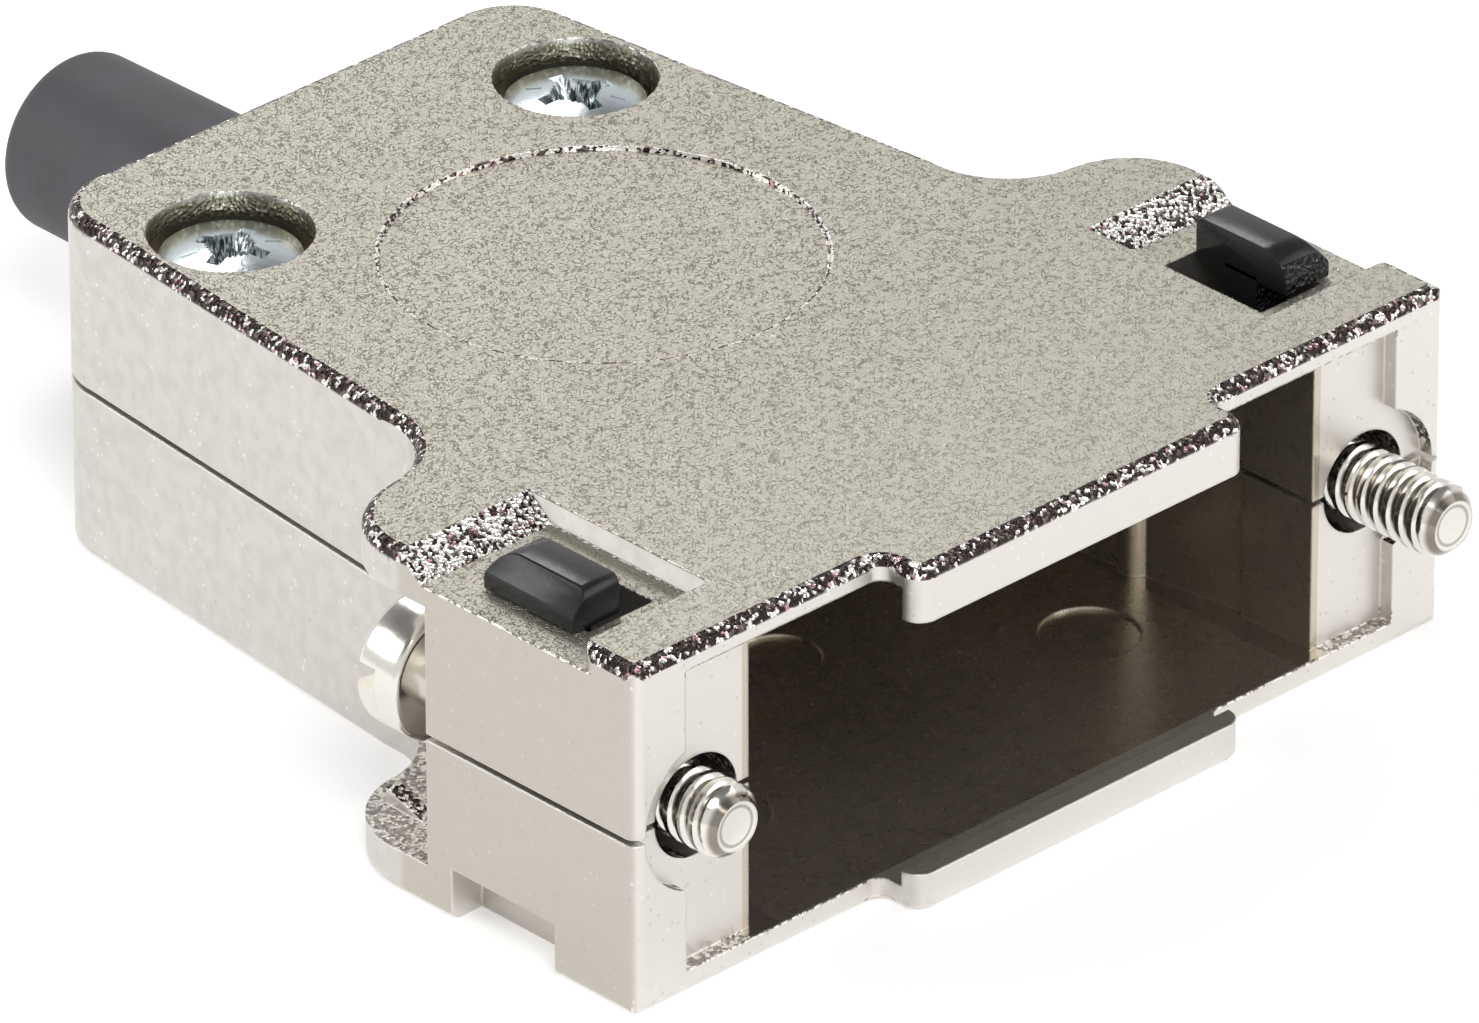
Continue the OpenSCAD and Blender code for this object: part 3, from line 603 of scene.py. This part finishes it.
@dataclass(frozen=True)
class RubberFinish:
    """Moulded synthetic rubber: matte charcoal with a faint bloom and a very fine grain.

    Args:
        name: Name of the material.
        colour: Colour of the compound.
        bloom_colour: Colour of the dusty bloom.
        roughness: Roughness of the skin.
        grain_mm: Size of the skin's grain, coarser than real so that it shows.
        bloom_mm: Size of the patches of bloom.
        depth: Depth of the grain.
    """

    name: str = "moulded_charcoal_rubber"
    colour: str = "#48484c"
    bloom_colour: str = "#4e4e53"
    roughness: float = 0.6
    grain_mm: float = 0.14
    bloom_mm: float = 2.5
    depth: float = 0.006 * MM

    def material(self) -> bpy.types.Material:
        """Build the rubber material."""
        material, node = new_material(self.name)
        at = Surface(node)
        grain = node("TexNoise", sockets=at.every(self.grain_mm, Detail=2.0))
        dust = node("TexNoise", sockets=at.every(self.bloom_mm, Detail=3.0))
        bloom = {0: node("MapRange", dust, 0.4, 0.65), 6: linear(self.colour), 7: linear(self.bloom_colour)}
        colour = node("Mix", data_type="RGBA", sockets=bloom)
        shine = node("Math MULTIPLY_ADD", grain, 0.1, self.roughness - 0.05)
        height = node("Math MULTIPLY", grain, self.depth)
        bump = node("Bump", sockets={"Height": height, "Distance": 1.0})
        inputs = {"Base Color": colour, "Roughness": shine, "Normal": bump}
        node("OutputMaterial", node("BsdfPrincipled", sockets=inputs))
        return material


CASTING = CastFinish()
BRIGHT_STEEL = MetalFinish("bright_nickel_on_turned_steel", "#e4e1da", 0.17)
BLUE_ZINC = MetalFinish("blue_zinc_on_steel", "#c6ced2", 0.22, 0.25, 0.005 * MM)
BLACK_NYLON = NylonFinish()
RUBBER = RubberFinish()


# ---- mesh tools


class Shape:
    """A bmesh that is turned into one finished piece."""

    def __init__(self) -> None:
        """Start with nothing."""
        self.bm = bmesh.new()

    def lathe(self, profile: Profile, steps: int = 96) -> None:
        """Add a profile spun about Z.

        Args:
            profile: Points of radius and height, in metres, from one pole to the other.
            steps: Number of steps in a full turn.
        """
        self.take(turned(profile, steps))

    def rod(self, radius: float, start: float, end: float) -> None:
        """Add a plain rod along Z.

        Args:
            radius: Radius of the rod.
            start: Height of its lower end.
            end: Height of its upper end.
        """
        self.lathe([(0, start), (radius, start), (radius, end), (0, end)], 48)

    def take(self, part: bmesh.types.BMesh) -> None:
        """Add a finished closed body, its faces turned outwards."""
        bmesh.ops.recalc_face_normals(part, faces=part.faces)
        mesh = bpy.data.meshes.new("part")
        part.to_mesh(mesh)
        part.free()
        self.bm.from_mesh(mesh)
        bpy.data.meshes.remove(mesh)

    def block(self, size: Triple, place: Matrix) -> None:
        """Add a small block.

        Args:
            size: Its three sides.
            place: Where its middle goes and how it is turned.
        """
        part = bmesh.new()
        bmesh.ops.create_cube(part, size=1.0)
        bmesh.ops.scale(part, vec=Vector(size), verts=part.verts)
        bmesh.ops.transform(part, matrix=place, verts=part.verts)
        self.take(part)

    def move(self, matrix: Matrix) -> None:
        """Transform everything made so far."""
        bmesh.ops.transform(self.bm, matrix=matrix, verts=self.bm.verts)

    def piece(self, name: str, finish: bpy.types.Material, body: str, smooth_deg: float) -> bpy.types.Object:
        """Turn the shape into a scene object that rides on a body.

        Args:
            name: Name of the piece.
            finish: Material of the piece.
            body: CAD body that carries it.
            smooth_deg: Edges sharper than this stay crisp.

        Returns:
            The new object.
        """
        mesh = bpy.data.meshes.new(name)
        self.bm.to_mesh(mesh)
        self.bm.free()
        mesh.shade_smooth()
        mesh.set_sharp_from_angle(angle=math.radians(smooth_deg))
        mesh.materials.append(finish)
        made = bpy.data.objects.new(name, mesh)
        bpy.context.scene.collection.objects.link(made)
        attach(made, body)
        LOG.info("%s: %d faces on %s", name, len(mesh.polygons), body)
        return made


def turned(profile: Profile, steps: int) -> bmesh.types.BMesh:
    """Spin a profile about Z into a closed body.

    Args:
        profile: Points of radius and height, in metres, from one pole to the other.
        steps: Number of steps in a full turn.

    Returns:
        The body.
    """
    part = bmesh.new()
    verts = [part.verts.new((r, 0.0, z)) for r, z in profile]
    edges = [part.edges.new(pair) for pair in zip(verts, verts[1:])]
    whole = {"axis": (0, 0, 1), "cent": (0, 0, 0), "angle": math.tau, "steps": steps, "use_merge": True}
    bmesh.ops.spin(part, geom=verts + edges, **whole)
    bmesh.ops.remove_doubles(part, verts=part.verts, dist=MERGE)
    return part


def corner(radius: float, height: float, soft: float, way: int, steps: int = 5) -> Profile:
    """Points of a rounded rim.

    Args:
        radius: Outer radius.
        height: Height of the face at the rim.
        soft: Radius of the rounding.
        way: -1 for a rim at the lower face, going up, and 1 for one at the upper face, going up to it.
        steps: Number of steps round the corner.

    Returns:
        Points of radius and height in rising order.
    """
    rows = []
    for i in range(steps + 1):
        angle = math.pi / 2 * i / steps
        out, along = (math.sin(angle), -math.cos(angle)) if way < 0 else (math.cos(angle), math.sin(angle))
        rows.append((radius - soft + soft * out, height - way * soft + soft * along))
    return rows


def open_edges(bm: bmesh.types.BMesh) -> list[bmesh.types.BMEdge]:
    """Edges that belong to one face only."""
    return [e for e in bm.edges if e.is_boundary]


def cut_away(bm: bmesh.types.BMesh, point: Vector, outward: Vector) -> None:
    """Cut everything off on the outward side of a plane and close the cut.

    Args:
        bm: Closed body to cut.
        point: A point on the plane.
        outward: Normal of the plane, towards what goes.
    """
    geom = [*bm.verts, *bm.edges, *bm.faces]
    bmesh.ops.bisect_plane(bm, geom=geom, plane_co=point, plane_no=outward, clear_outer=True, dist=MERGE)
    bmesh.ops.holes_fill(bm, edges=open_edges(bm), sides=0)


# ---- sub-assemblies


@dataclass
class Castings:
    """The two die-cast shells, which keep their CAD meshes.

    Args:
        nodes: CAD nodes of the shells.
    """

    nodes: tuple[str, ...] = ("lower_shell", "upper_shell")

    def build(self) -> None:
        """Dress both shells."""
        dress(self.nodes, CASTING.material())


@dataclass
class CoverScrew:
    """One domed cross-recess screw that holds the shells together.

    Args:
        side: Side of the hood.
        turn_deg: Turn of the cross about the screw's axis.
        dome: Rise of the dome.
        cells: Cells across the head, which set the width of the cross.
        arm_cells: Cells from the middle to the end of an arm.
        half_cells: Cells in half the width of an arm.
        well_cells: Radius in cells of the well where the arms meet, whose stepped wall gives it flutes.
        depth: Depth of the recess.
        taper: Share of the cross that is left at its foot.
        tick: Width, length and distance from the axis of the four marks between the arms.
        shank_r: Radius of the shank.
        neck_z: Height of the shank's upper end below the crown.
        rim_round: Rounding of the head's rim.
        lift: Rise of the crown above the plain solid.
        skirt: Height of the head's side.
    """

    side: Side
    turn_deg: float
    dome: float = 0.42 * MM
    cells: int = 36
    arm_cells: float = 10.5
    half_cells: float = 2.5
    well_cells: float = 6.2
    depth: float = 1.15 * MM
    taper: float = 0.52
    tick: Triple = (0.07 * MM, 0.6 * MM, 1.6 * MM)
    shank_r: float = 1.25 * MM
    neck_z: float = -1.0 * MM
    rim_round: float = 0.14 * MM
    lift: float = 0.2 * MM
    skirt: float = 1.7 * MM

    def build(self, finish: bpy.types.Material) -> None:
        """Build the screw over its CAD node."""
        node = f"cover_screw_{self.side.word}"
        low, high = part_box(node)
        radius = (high.x - low.x) / 2
        centre = (low + high) / 2
        shape = Shape()
        shape.take(self.head(radius))
        foot = low.z - high.z - self.lift
        shape.rod(self.shank_r, foot, self.neck_z)
        width, length, reach = self.tick
        slope = math.atan(2 * self.dome * reach / radius**2)
        for quarter in range(4):
            around = Matrix.Rotation(math.radians(45 + 90 * quarter), 4, "Z")
            drop = self.dome * (reach / radius) ** 2
            lay = Matrix.Translation((reach, 0, -drop)) @ Matrix.Rotation(slope, 4, "Y")
            shape.block((length, width, width), around @ lay)
        turn = Matrix.Rotation(math.radians(self.turn_deg), 4, "Z")
        shape.move(Matrix.Translation((centre.x, centre.y, high.z + self.lift)) @ turn)
        made = shape.piece(node.replace("cover", "domed_cover"), finish, "hood", 30.0)
        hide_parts(node)

    def head(self, radius: float) -> bmesh.types.BMesh:
        """Make the domed head with its tapered cross recess, crown at z = 0.

        Args:
            radius: Radius of the head.

        Returns:
            The head as a closed body.
        """
        bm = bmesh.new()
        bmesh.ops.create_grid(bm, x_segments=self.cells, y_segments=self.cells, size=1.0)
        counts = (self.arm_cells, self.half_cells, self.well_cells)
        reach, half, well = (2 * count / self.cells for count in counts)
        arms = []
        for face in bm.faces:
            near, far = sorted(map(abs, face.calc_center_median()[:2]))
            if (near < half and far < reach) or math.hypot(near, far) < well:
                arms.append(face)
        for vert in bm.verts:
            u, v, _ = vert.co
            across, along = u * math.sqrt(1 - v * v / 2), v * math.sqrt(1 - u * u / 2)
            keep = min(max((math.hypot(u, v) - reach) / (1 - reach), 0.0), 1.0)
            across, along = u + (across - u) * keep, v + (along - v) * keep
            drop = self.dome * (across * across + along * along)
            vert.co = Vector((across * radius, along * radius, -drop))
        sunk = bmesh.ops.extrude_face_region(bm, geom=arms)["geom"]
        bmesh.ops.delete(bm, geom=arms, context="FACES_ONLY")
        for vert in (v for v in sunk if isinstance(v, bmesh.types.BMVert)):
            vert.co = Vector((vert.co.x * self.taper, vert.co.y * self.taper, -self.depth))
        rim = open_edges(bm)
        side = bmesh.ops.extrude_edge_only(bm, edges=rim)["geom"]
        for vert in (v for v in side if isinstance(v, bmesh.types.BMVert)):
            vert.co.z = -self.dome - self.skirt
        bmesh.ops.holes_fill(bm, edges=open_edges(bm), sides=0)
        bmesh.ops.recalc_face_normals(bm, faces=bm.faces)
        bmesh.ops.bevel(bm, geom=[e for e in rim if e.is_valid], offset=self.rim_round, segments=3, **ROUND)
        return bm


@dataclass
class Jackscrew:
    """One captive jackscrew: rolled 4-40 thread, neck, plain shank and slotted head.

    Args:
        side: Side of the hood.
        turn_deg: Turn of the slot about the screw's axis.
        pitch: Rise of the thread in one turn.
        crest_r: Outer radius of the thread.
        root_r: Radius between the threads.
        wave: Share of the pitch and share of the thread's height along one rounded thread.
        steps: Steps in one turn of the thread.
        neck: Radius, start and end of the neck in the clip.
        shank_round: Rounding of the shank's rim beside the neck.
        head_l: Length of the head.
        head_round: Rounding of the head's rims.
        slot: Width and depth of the driver slot.
        tip_cone: Length of the turned-down tip.
        tip_r: Radius of the tip's face.
        tip_rim: Width and depth of the rim round the tip's face.
    """

    side: Side
    turn_deg: float
    pitch: float = 0.635 * MM
    crest_r: float = 1.4225 * MM
    root_r: float = 1.12 * MM
    wave: Profile = (
        (0.0, 0.0), (0.06, 0.06), (0.2, 0.74), (0.31, 0.95), (0.5, 1.0),
        (0.69, 0.95), (0.8, 0.74), (0.94, 0.06), (1.0, 0.0),
    )
    steps: int = 40
    neck: Triple = (1.0 * MM, 7.45 * MM, 11.65 * MM)
    shank_round: float = 0.12 * MM
    head_l: float = 2.1 * MM
    head_round: float = 0.28 * MM
    slot: Span = (0.8 * MM, 1.0 * MM)
    tip_cone: float = 0.5 * MM
    tip_r: float = 0.98 * MM
    tip_rim: Span = (0.13 * MM, 0.06 * MM)

    def build(self, finish: bpy.types.Material) -> None:
        """Build the screw over its CAD node."""
        node = f"jackscrew_{self.side.word}"
        low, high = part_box(node)
        shank = high.y - low.y - self.head_l
        head_r = (high.x - low.x) / 2
        neck_r, neck_from, neck_to = self.neck
        shape = Shape()
        shape.take(self.thread(neck_from))
        shape.rod(neck_r, neck_from, neck_to)
        rim = corner(self.crest_r, neck_to, self.shank_round, -1)
        shape.lathe([(0, neck_to), *rim, (self.crest_r, shank), (0, shank)], 64)
        self.head(shape, head_r, shank)
        turn = Matrix.Rotation(math.radians(self.turn_deg), 4, "Z")
        lay = Matrix.Rotation(math.radians(-90), 4, "X")
        shape.move(Matrix.Translation(((low.x + high.x) / 2, low.y, (low.z + high.z) / 2)) @ lay @ turn)
        made = shape.piece(f"threaded_{node}", finish, f"screw_{self.side.word}", 32.0)
        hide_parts(node)

    def thread(self, end: float) -> bmesh.types.BMesh:
        """Make the right-hand thread about Z, its tip at z = 0.

        Args:
            end: Height of the upper end.

        Returns:
            The threaded stretch as a closed body.
        """
        bm = bmesh.new()
        turns = math.ceil(end / self.pitch) + 3
        below = -1.5 * self.pitch
        deep = self.crest_r - self.root_r
        wave = [(self.root_r + deep * up, 0.0, below + self.pitch * along) for along, up in self.wave]
        verts = [bm.verts.new(point) for point in wave]
        edges = [bm.edges.new(pair) for pair in zip(verts, verts[1:])]
        rise = Vector((0, 0, self.pitch / self.steps))
        helix = {"angle": math.tau * turns, "steps": self.steps * turns, "dvec": rise}
        bmesh.ops.spin(bm, geom=verts + edges, axis=(0, 0, 1), cent=(0, 0, 0), **helix)
        bmesh.ops.remove_doubles(bm, verts=bm.verts, dist=MERGE)
        cut_away(bm, Vector((0, 0, 0)), Vector((0, 0, -1)))
        cut_away(bm, Vector((0, 0, end)), Vector((0, 0, 1)))
        for vert in bm.verts:
            allowed = self.tip_r + max(vert.co.z, 0.0) / self.tip_cone * (self.crest_r - self.tip_r)
            if vert.co.xy.length > allowed:
                vert.co.xy *= allowed / vert.co.xy.length
        bmesh.ops.recalc_face_normals(bm, faces=bm.faces)
        face = [f for f in bm.faces if f.normal.z < -0.9 and f.calc_center_median().z < MERGE]
        width, depth = self.tip_rim
        bmesh.ops.inset_region(bm, faces=face, thickness=width, depth=-depth, use_even_offset=True)
        return bm

    def head(self, shape: Shape, radius: float, start: float) -> None:
        """Add the head: a turned disc and two lands with the slot between them.

        Args:
            shape: Shape that receives the head.
            radius: Radius of the head.
            start: Height of the face under the head.
        """
        width, depth = self.slot
        top, soft = start + self.head_l, self.head_round
        floor = top - depth
        shape.lathe([(0, start), *corner(radius, start, soft, -1), (radius, floor), (0, floor)])
        for sign in (-1, 1):
            overlap = floor - 0.01 * MM
            land = turned([(0, overlap), (radius, overlap), *corner(radius, top, soft, 1), (0, top)], 96)
            cut_away(land, Vector((0, sign * width / 2, 0)), Vector((0, -sign, 0)))
            shape.take(land)


@dataclass
class ScrewClip:
    """One black clip that rides in a pocket and carries a jackscrew by its neck.

    Its own frame has the screw's axis at x = 0, the flat side towards +X and the rounded end towards +Y.

    Args:
        side: Side of the hood; the right clip is the left one turned half round.
        axis: Distance of the screw's axis from the middle of the hood, and its height.
        middle: Distance of the clip from the mating face.
        flat_x: Place of the flat side.
        width: Width over the cap.
        top_w: Width of the crested top.
        length: Length of the cap.
        fall: Fall of the top from its crest to its edges.
        shoulder: Height of the outer shoulder.
        floor: Height of the cap's underside.
        end_round: Rounding of the far end, seen from the side.
        heel_round: Rounding of the near end.
        edge_round: Rounding of the crisp edges.
        bead: Width, length and shift of the moulded line on the top.
        fork: Width and length of the fork, and the radius of its slot.
        bridge_h: Height of the bridge over the slot; above it a stem runs up under the cap.
    """

    side: Side
    axis: Span = (16.66 * MM, 7.0 * MM)
    middle: float = 6.8 * MM
    flat_x: float = 0.1 * MM
    width: float = 2.25 * MM
    top_w: float = 1.65 * MM
    length: float = 4.6 * MM
    fall: float = 0.12 * MM
    shoulder: float = 13.75 * MM
    floor: float = 13.1 * MM
    end_round: float = 1.2 * MM
    heel_round: float = 0.4 * MM
    edge_round: float = 0.07 * MM
    bead: Triple = (0.06 * MM, 2.5 * MM, 0.1 * MM)
    fork: Triple = (3.0 * MM, 1.6 * MM, 1.05 * MM)
    bridge_h: float = 1.5 * MM

    def build(self, finish: bpy.types.Material) -> None:
        """Build the clip over its CAD node."""
        node = f"screw_clip_{self.side.word}"
        low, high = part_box(node)
        shape = Shape()
        shape.take(self.cap(high.z))
        width, length, shift = self.bead
        middle = Matrix.Translation((self.flat_x - self.top_w / 2, shift, high.z - width * 0.6))
        shape.block((width, length, width), middle)
        self.prongs(shape, low.z)
        half_turn = Matrix.Rotation(math.pi if self.side is Side.RIGHT else 0.0, 4, "Z")
        shape.move(Matrix.Translation((self.side.value * self.axis[0], self.middle, 0)) @ half_turn)
        made = shape.piece(f"moulded_{node}", finish, f"clip_{self.side.word}", 25.0)
        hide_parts(node)

    def cap(self, crest: float) -> bmesh.types.BMesh:
        """Make the visible cap.

        Args:
            crest: Height of its crest.

        Returns:
            The cap as a closed body.
        """
        bm = bmesh.new()
        bmesh.ops.create_cube(bm, size=1.0)
        bmesh.ops.scale(bm, vec=Vector((self.width, self.length, crest - self.floor)), verts=bm.verts)
        middle = Vector((self.flat_x - self.width / 2, 0.0, (crest + self.floor) / 2))
        bmesh.ops.translate(bm, vec=middle, verts=bm.verts)
        for way, soft, steps in ((1, self.end_round, 12), (-1, self.heel_round, 5)):
            edge = [e for e in bm.edges if all(v.co.z > crest - MERGE and v.co.y * way > 0 for v in e.verts)]
            edge = [e for e in edge if abs(e.verts[0].co.y - e.verts[1].co.y) < MERGE]
            edge = sorted(edge, key=lambda e: -abs(e.verts[0].co.y))[:1]
            bmesh.ops.bevel(bm, geom=edge, offset=soft, segments=steps, **ROUND)
        side_x, top_x = self.flat_x - self.width, self.flat_x - self.top_w
        crest_x, edge_z = self.flat_x - self.top_w / 2, crest - self.fall
        section = [(side_x, self.shoulder), (top_x, edge_z), (crest_x, crest), (self.flat_x, edge_z)]
        for (x0, z0), (x1, z1) in zip(section, section[1:]):
            cut_away(bm, Vector((x0, 0.0, z0)), Vector((z0 - z1, 0.0, x1 - x0)))
        bmesh.ops.recalc_face_normals(bm, faces=bm.faces)
        crisp = [e for e in bm.edges if e.is_manifold and e.calc_face_angle() > math.radians(24)]
        bmesh.ops.bevel(bm, geom=crisp, offset=self.edge_round, segments=2, **ROUND)
        return bm

    def prongs(self, shape: Shape, low: float) -> None:
        """Add the bridge and the two prongs that hold the screw's neck.

        Args:
            shape: Shape that receives the fork.
            low: Height of the prong ends.
        """
        width, length, slot_r = self.fork
        bridge, weld, prong = self.axis[1] + slot_r, 0.2 * MM, width / 2 - slot_r
        rise = self.bridge_h
        shape.block((width, length, rise), Matrix.Translation((0, 0, bridge + rise / 2)))
        stem, rise = width / 2 + self.flat_x, self.floor + weld - bridge
        shape.block((stem, length, rise), Matrix.Translation((self.flat_x - stem / 2, 0, bridge + rise / 2)))
        rise = bridge + weld - low
        for sign in (-1, 1):
            middle = Matrix.Translation((sign * (width - prong) / 2, 0, low + rise / 2))
            shape.block((prong, length, rise), middle)


@dataclass
class CableExit:
    """The rubber boot and the clamp inside, which keep their CAD meshes.

    Args:
        clamp_nodes: CAD nodes of the clamp and its screws.
    """

    clamp_nodes: tuple[str, ...] = ("cable_clamp", "clamp_screw_left", "clamp_screw_right")

    def build(self, steel: bpy.types.Material) -> None:
        """Dress the boot and the clamp."""
        dress(("cable_boot",), RUBBER.material())
        dress(self.clamp_nodes, steel)


def dress(nodes: tuple[str, ...], finish: bpy.types.Material) -> None:
    """Give CAD nodes a finish.

    Args:
        nodes: Names of the nodes.
        finish: Material to use.
    """
    for name in nodes:
        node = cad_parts[name]
        node.data.materials.clear()
        node.data.materials.append(finish)
        LOG.info("%s: dressed with %s", name, finish.name)


# ---- studio


@dataclass
class Studio:
    """White sweep, soft lamps and the camera.

    Args:
        azimuth: Camera's turn round the hood, towards the left side.
        elevation: Camera's height above the horizon, in degrees.
        roll: Camera's lean, in degrees.
        distance: Distance from the aim point.
        aim: Point that the camera looks at.
        lens: Focal length for a 36 mm sensor.
        floor_size: Side of the floor.
        floor_glow: Light that the floor adds to what camera and gloss see of it.
        sky: Strength of the sky near the horizon and overhead.
        lamps: Name, place, side and power of each lamp.
    """

    azimuth: float = 43.79
    elevation: float = 29.38
    roll: float = -0.115
    distance: float = 621.9 * MM
    aim: Triple = (-0.685 * MM, 15.03 * MM, 6.69 * MM)
    lens: float = 419.7
    floor_size: float = 3.0
    floor_glow: float = 0.36
    sky: Span = (0.85, 0.22)
    lamps: tuple[tuple, ...] = (
        ("key_lamp", (-0.25, -0.35, 0.6), 0.26, 2.2),
        ("fill_lamp", (0.4, -0.5, 0.35), 0.6, 1.3),
        ("rear_lamp", (0.3, 0.5, 0.55), 0.2, 0.9),
        ("side_lamp", (-0.45, 0.47, 0.34), 0.3, 1.0),
    )

    def build(self) -> None:
        """Make the floor, the world, the lamps and the camera."""
        self.floor()
        self.world()
        for lamp in self.lamps:
            self.lamp(*lamp)
        self.camera()
        bpy.context.scene.view_settings.view_transform = "Standard"

    def floor(self) -> None:
        """Make the pale floor."""
        bm = bmesh.new()
        bmesh.ops.create_grid(bm, x_segments=1, y_segments=1, size=self.floor_size / 2)
        mesh = bpy.data.meshes.new("floor")
        bm.to_mesh(mesh)
        bm.free()
        material, node = new_material("matte_white_card")
        rays = node("LightPath").outputs
        seen = node("Math MAXIMUM", rays["Is Camera Ray"], rays["Is Glossy Ray"])
        shader = node("BsdfPrincipled", sockets={
            "Base Color": (0.82, 0.82, 0.82, 1), "Roughness": 0.9, "Emission Color": (1, 1, 1, 1),
            "Emission Strength": node("Math MULTIPLY", seen, self.floor_glow),
        })
        node("OutputMaterial", shader)
        mesh.materials.append(material)
        floor = bpy.data.objects.new("floor", mesh)
        bpy.context.scene.collection.objects.link(floor)
        floor.location.z = -0.02 * MM

    def world(self) -> None:
        """Make the sky: bright near the horizon, darker overhead, white to the camera."""
        world = bpy.data.worlds.new("white_tent")
        bpy.context.scene.world = world
        world.use_nodes = True
        world.node_tree.nodes.clear()
        node = partial(add, world.node_tree)
        height = node("SeparateXYZ", node("TexCoord").outputs["Generated"]).outputs[2]
        dim = node("MapRange", height, 0.45, 0.75, *self.sky, interpolation_type="SMOOTHSTEP")
        camera_ray = node("LightPath").outputs["Is Camera Ray"]
        strength = node("Math MAXIMUM", dim, camera_ray)
        node("OutputWorld", node("Background", (1, 1, 1, 1), strength))

    def lamp(self, name: str, place: Triple, size: float, power: float) -> None:
        """Add a soft square lamp that faces the hood.

        Args:
            name: Name of the lamp.
            place: Where it stands, in metres.
            size: Side of the square, in metres.
            power: Power in watts.
        """
        data = bpy.data.lights.new(name, "AREA")
        data.size = size
        data.energy = power
        lamp = bpy.data.objects.new(name, data)
        lamp.location = place
        lamp.rotation_euler = (Vector(self.aim) - Vector(place)).to_track_quat("-Z", "Y").to_euler()
        bpy.context.scene.collection.objects.link(lamp)

    def camera(self) -> None:
        """Add the camera."""
        a, e = math.radians(self.azimuth), math.radians(self.elevation)
        away = Vector((-math.sin(a) * math.cos(e), -math.cos(a) * math.cos(e), math.sin(e)))
        data = bpy.data.cameras.new("camera")
        data.lens = self.lens
        data.sensor_width = 36.0
        data.clip_start, data.clip_end = 0.05, 20.0
        camera = bpy.data.objects.new("camera", data)
        camera.rotation_mode = "QUATERNION"
        camera.location = Vector(self.aim) + away * self.distance
        look = (-away).to_track_quat("-Z", "Y").to_matrix().to_4x4()
        camera.rotation_quaternion = (look @ Matrix.Rotation(math.radians(self.roll), 4, "Z")).to_quaternion()
        bpy.context.scene.collection.objects.link(camera)
        bpy.context.scene.camera = camera


def main() -> None:
    """Build every sub-assembly around the frame and report each piece."""
    logging.basicConfig(level=logging.INFO, format="%(message)s")
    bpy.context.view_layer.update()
    bright, blue, black = BRIGHT_STEEL.material(), BLUE_ZINC.material(), BLACK_NYLON.material()
    Castings().build()
    CableExit().build(bright)
    for side, cover_turn, slot_turn in ((Side.LEFT, 20.0, 8.0), (Side.RIGHT, -12.0, 30.0)):
        CoverScrew(side, cover_turn).build(blue)
        Jackscrew(side, slot_turn).build(bright)
        ScrewClip(side).build(black)
    Studio().build()


if __name__ == "__main__":
    main()
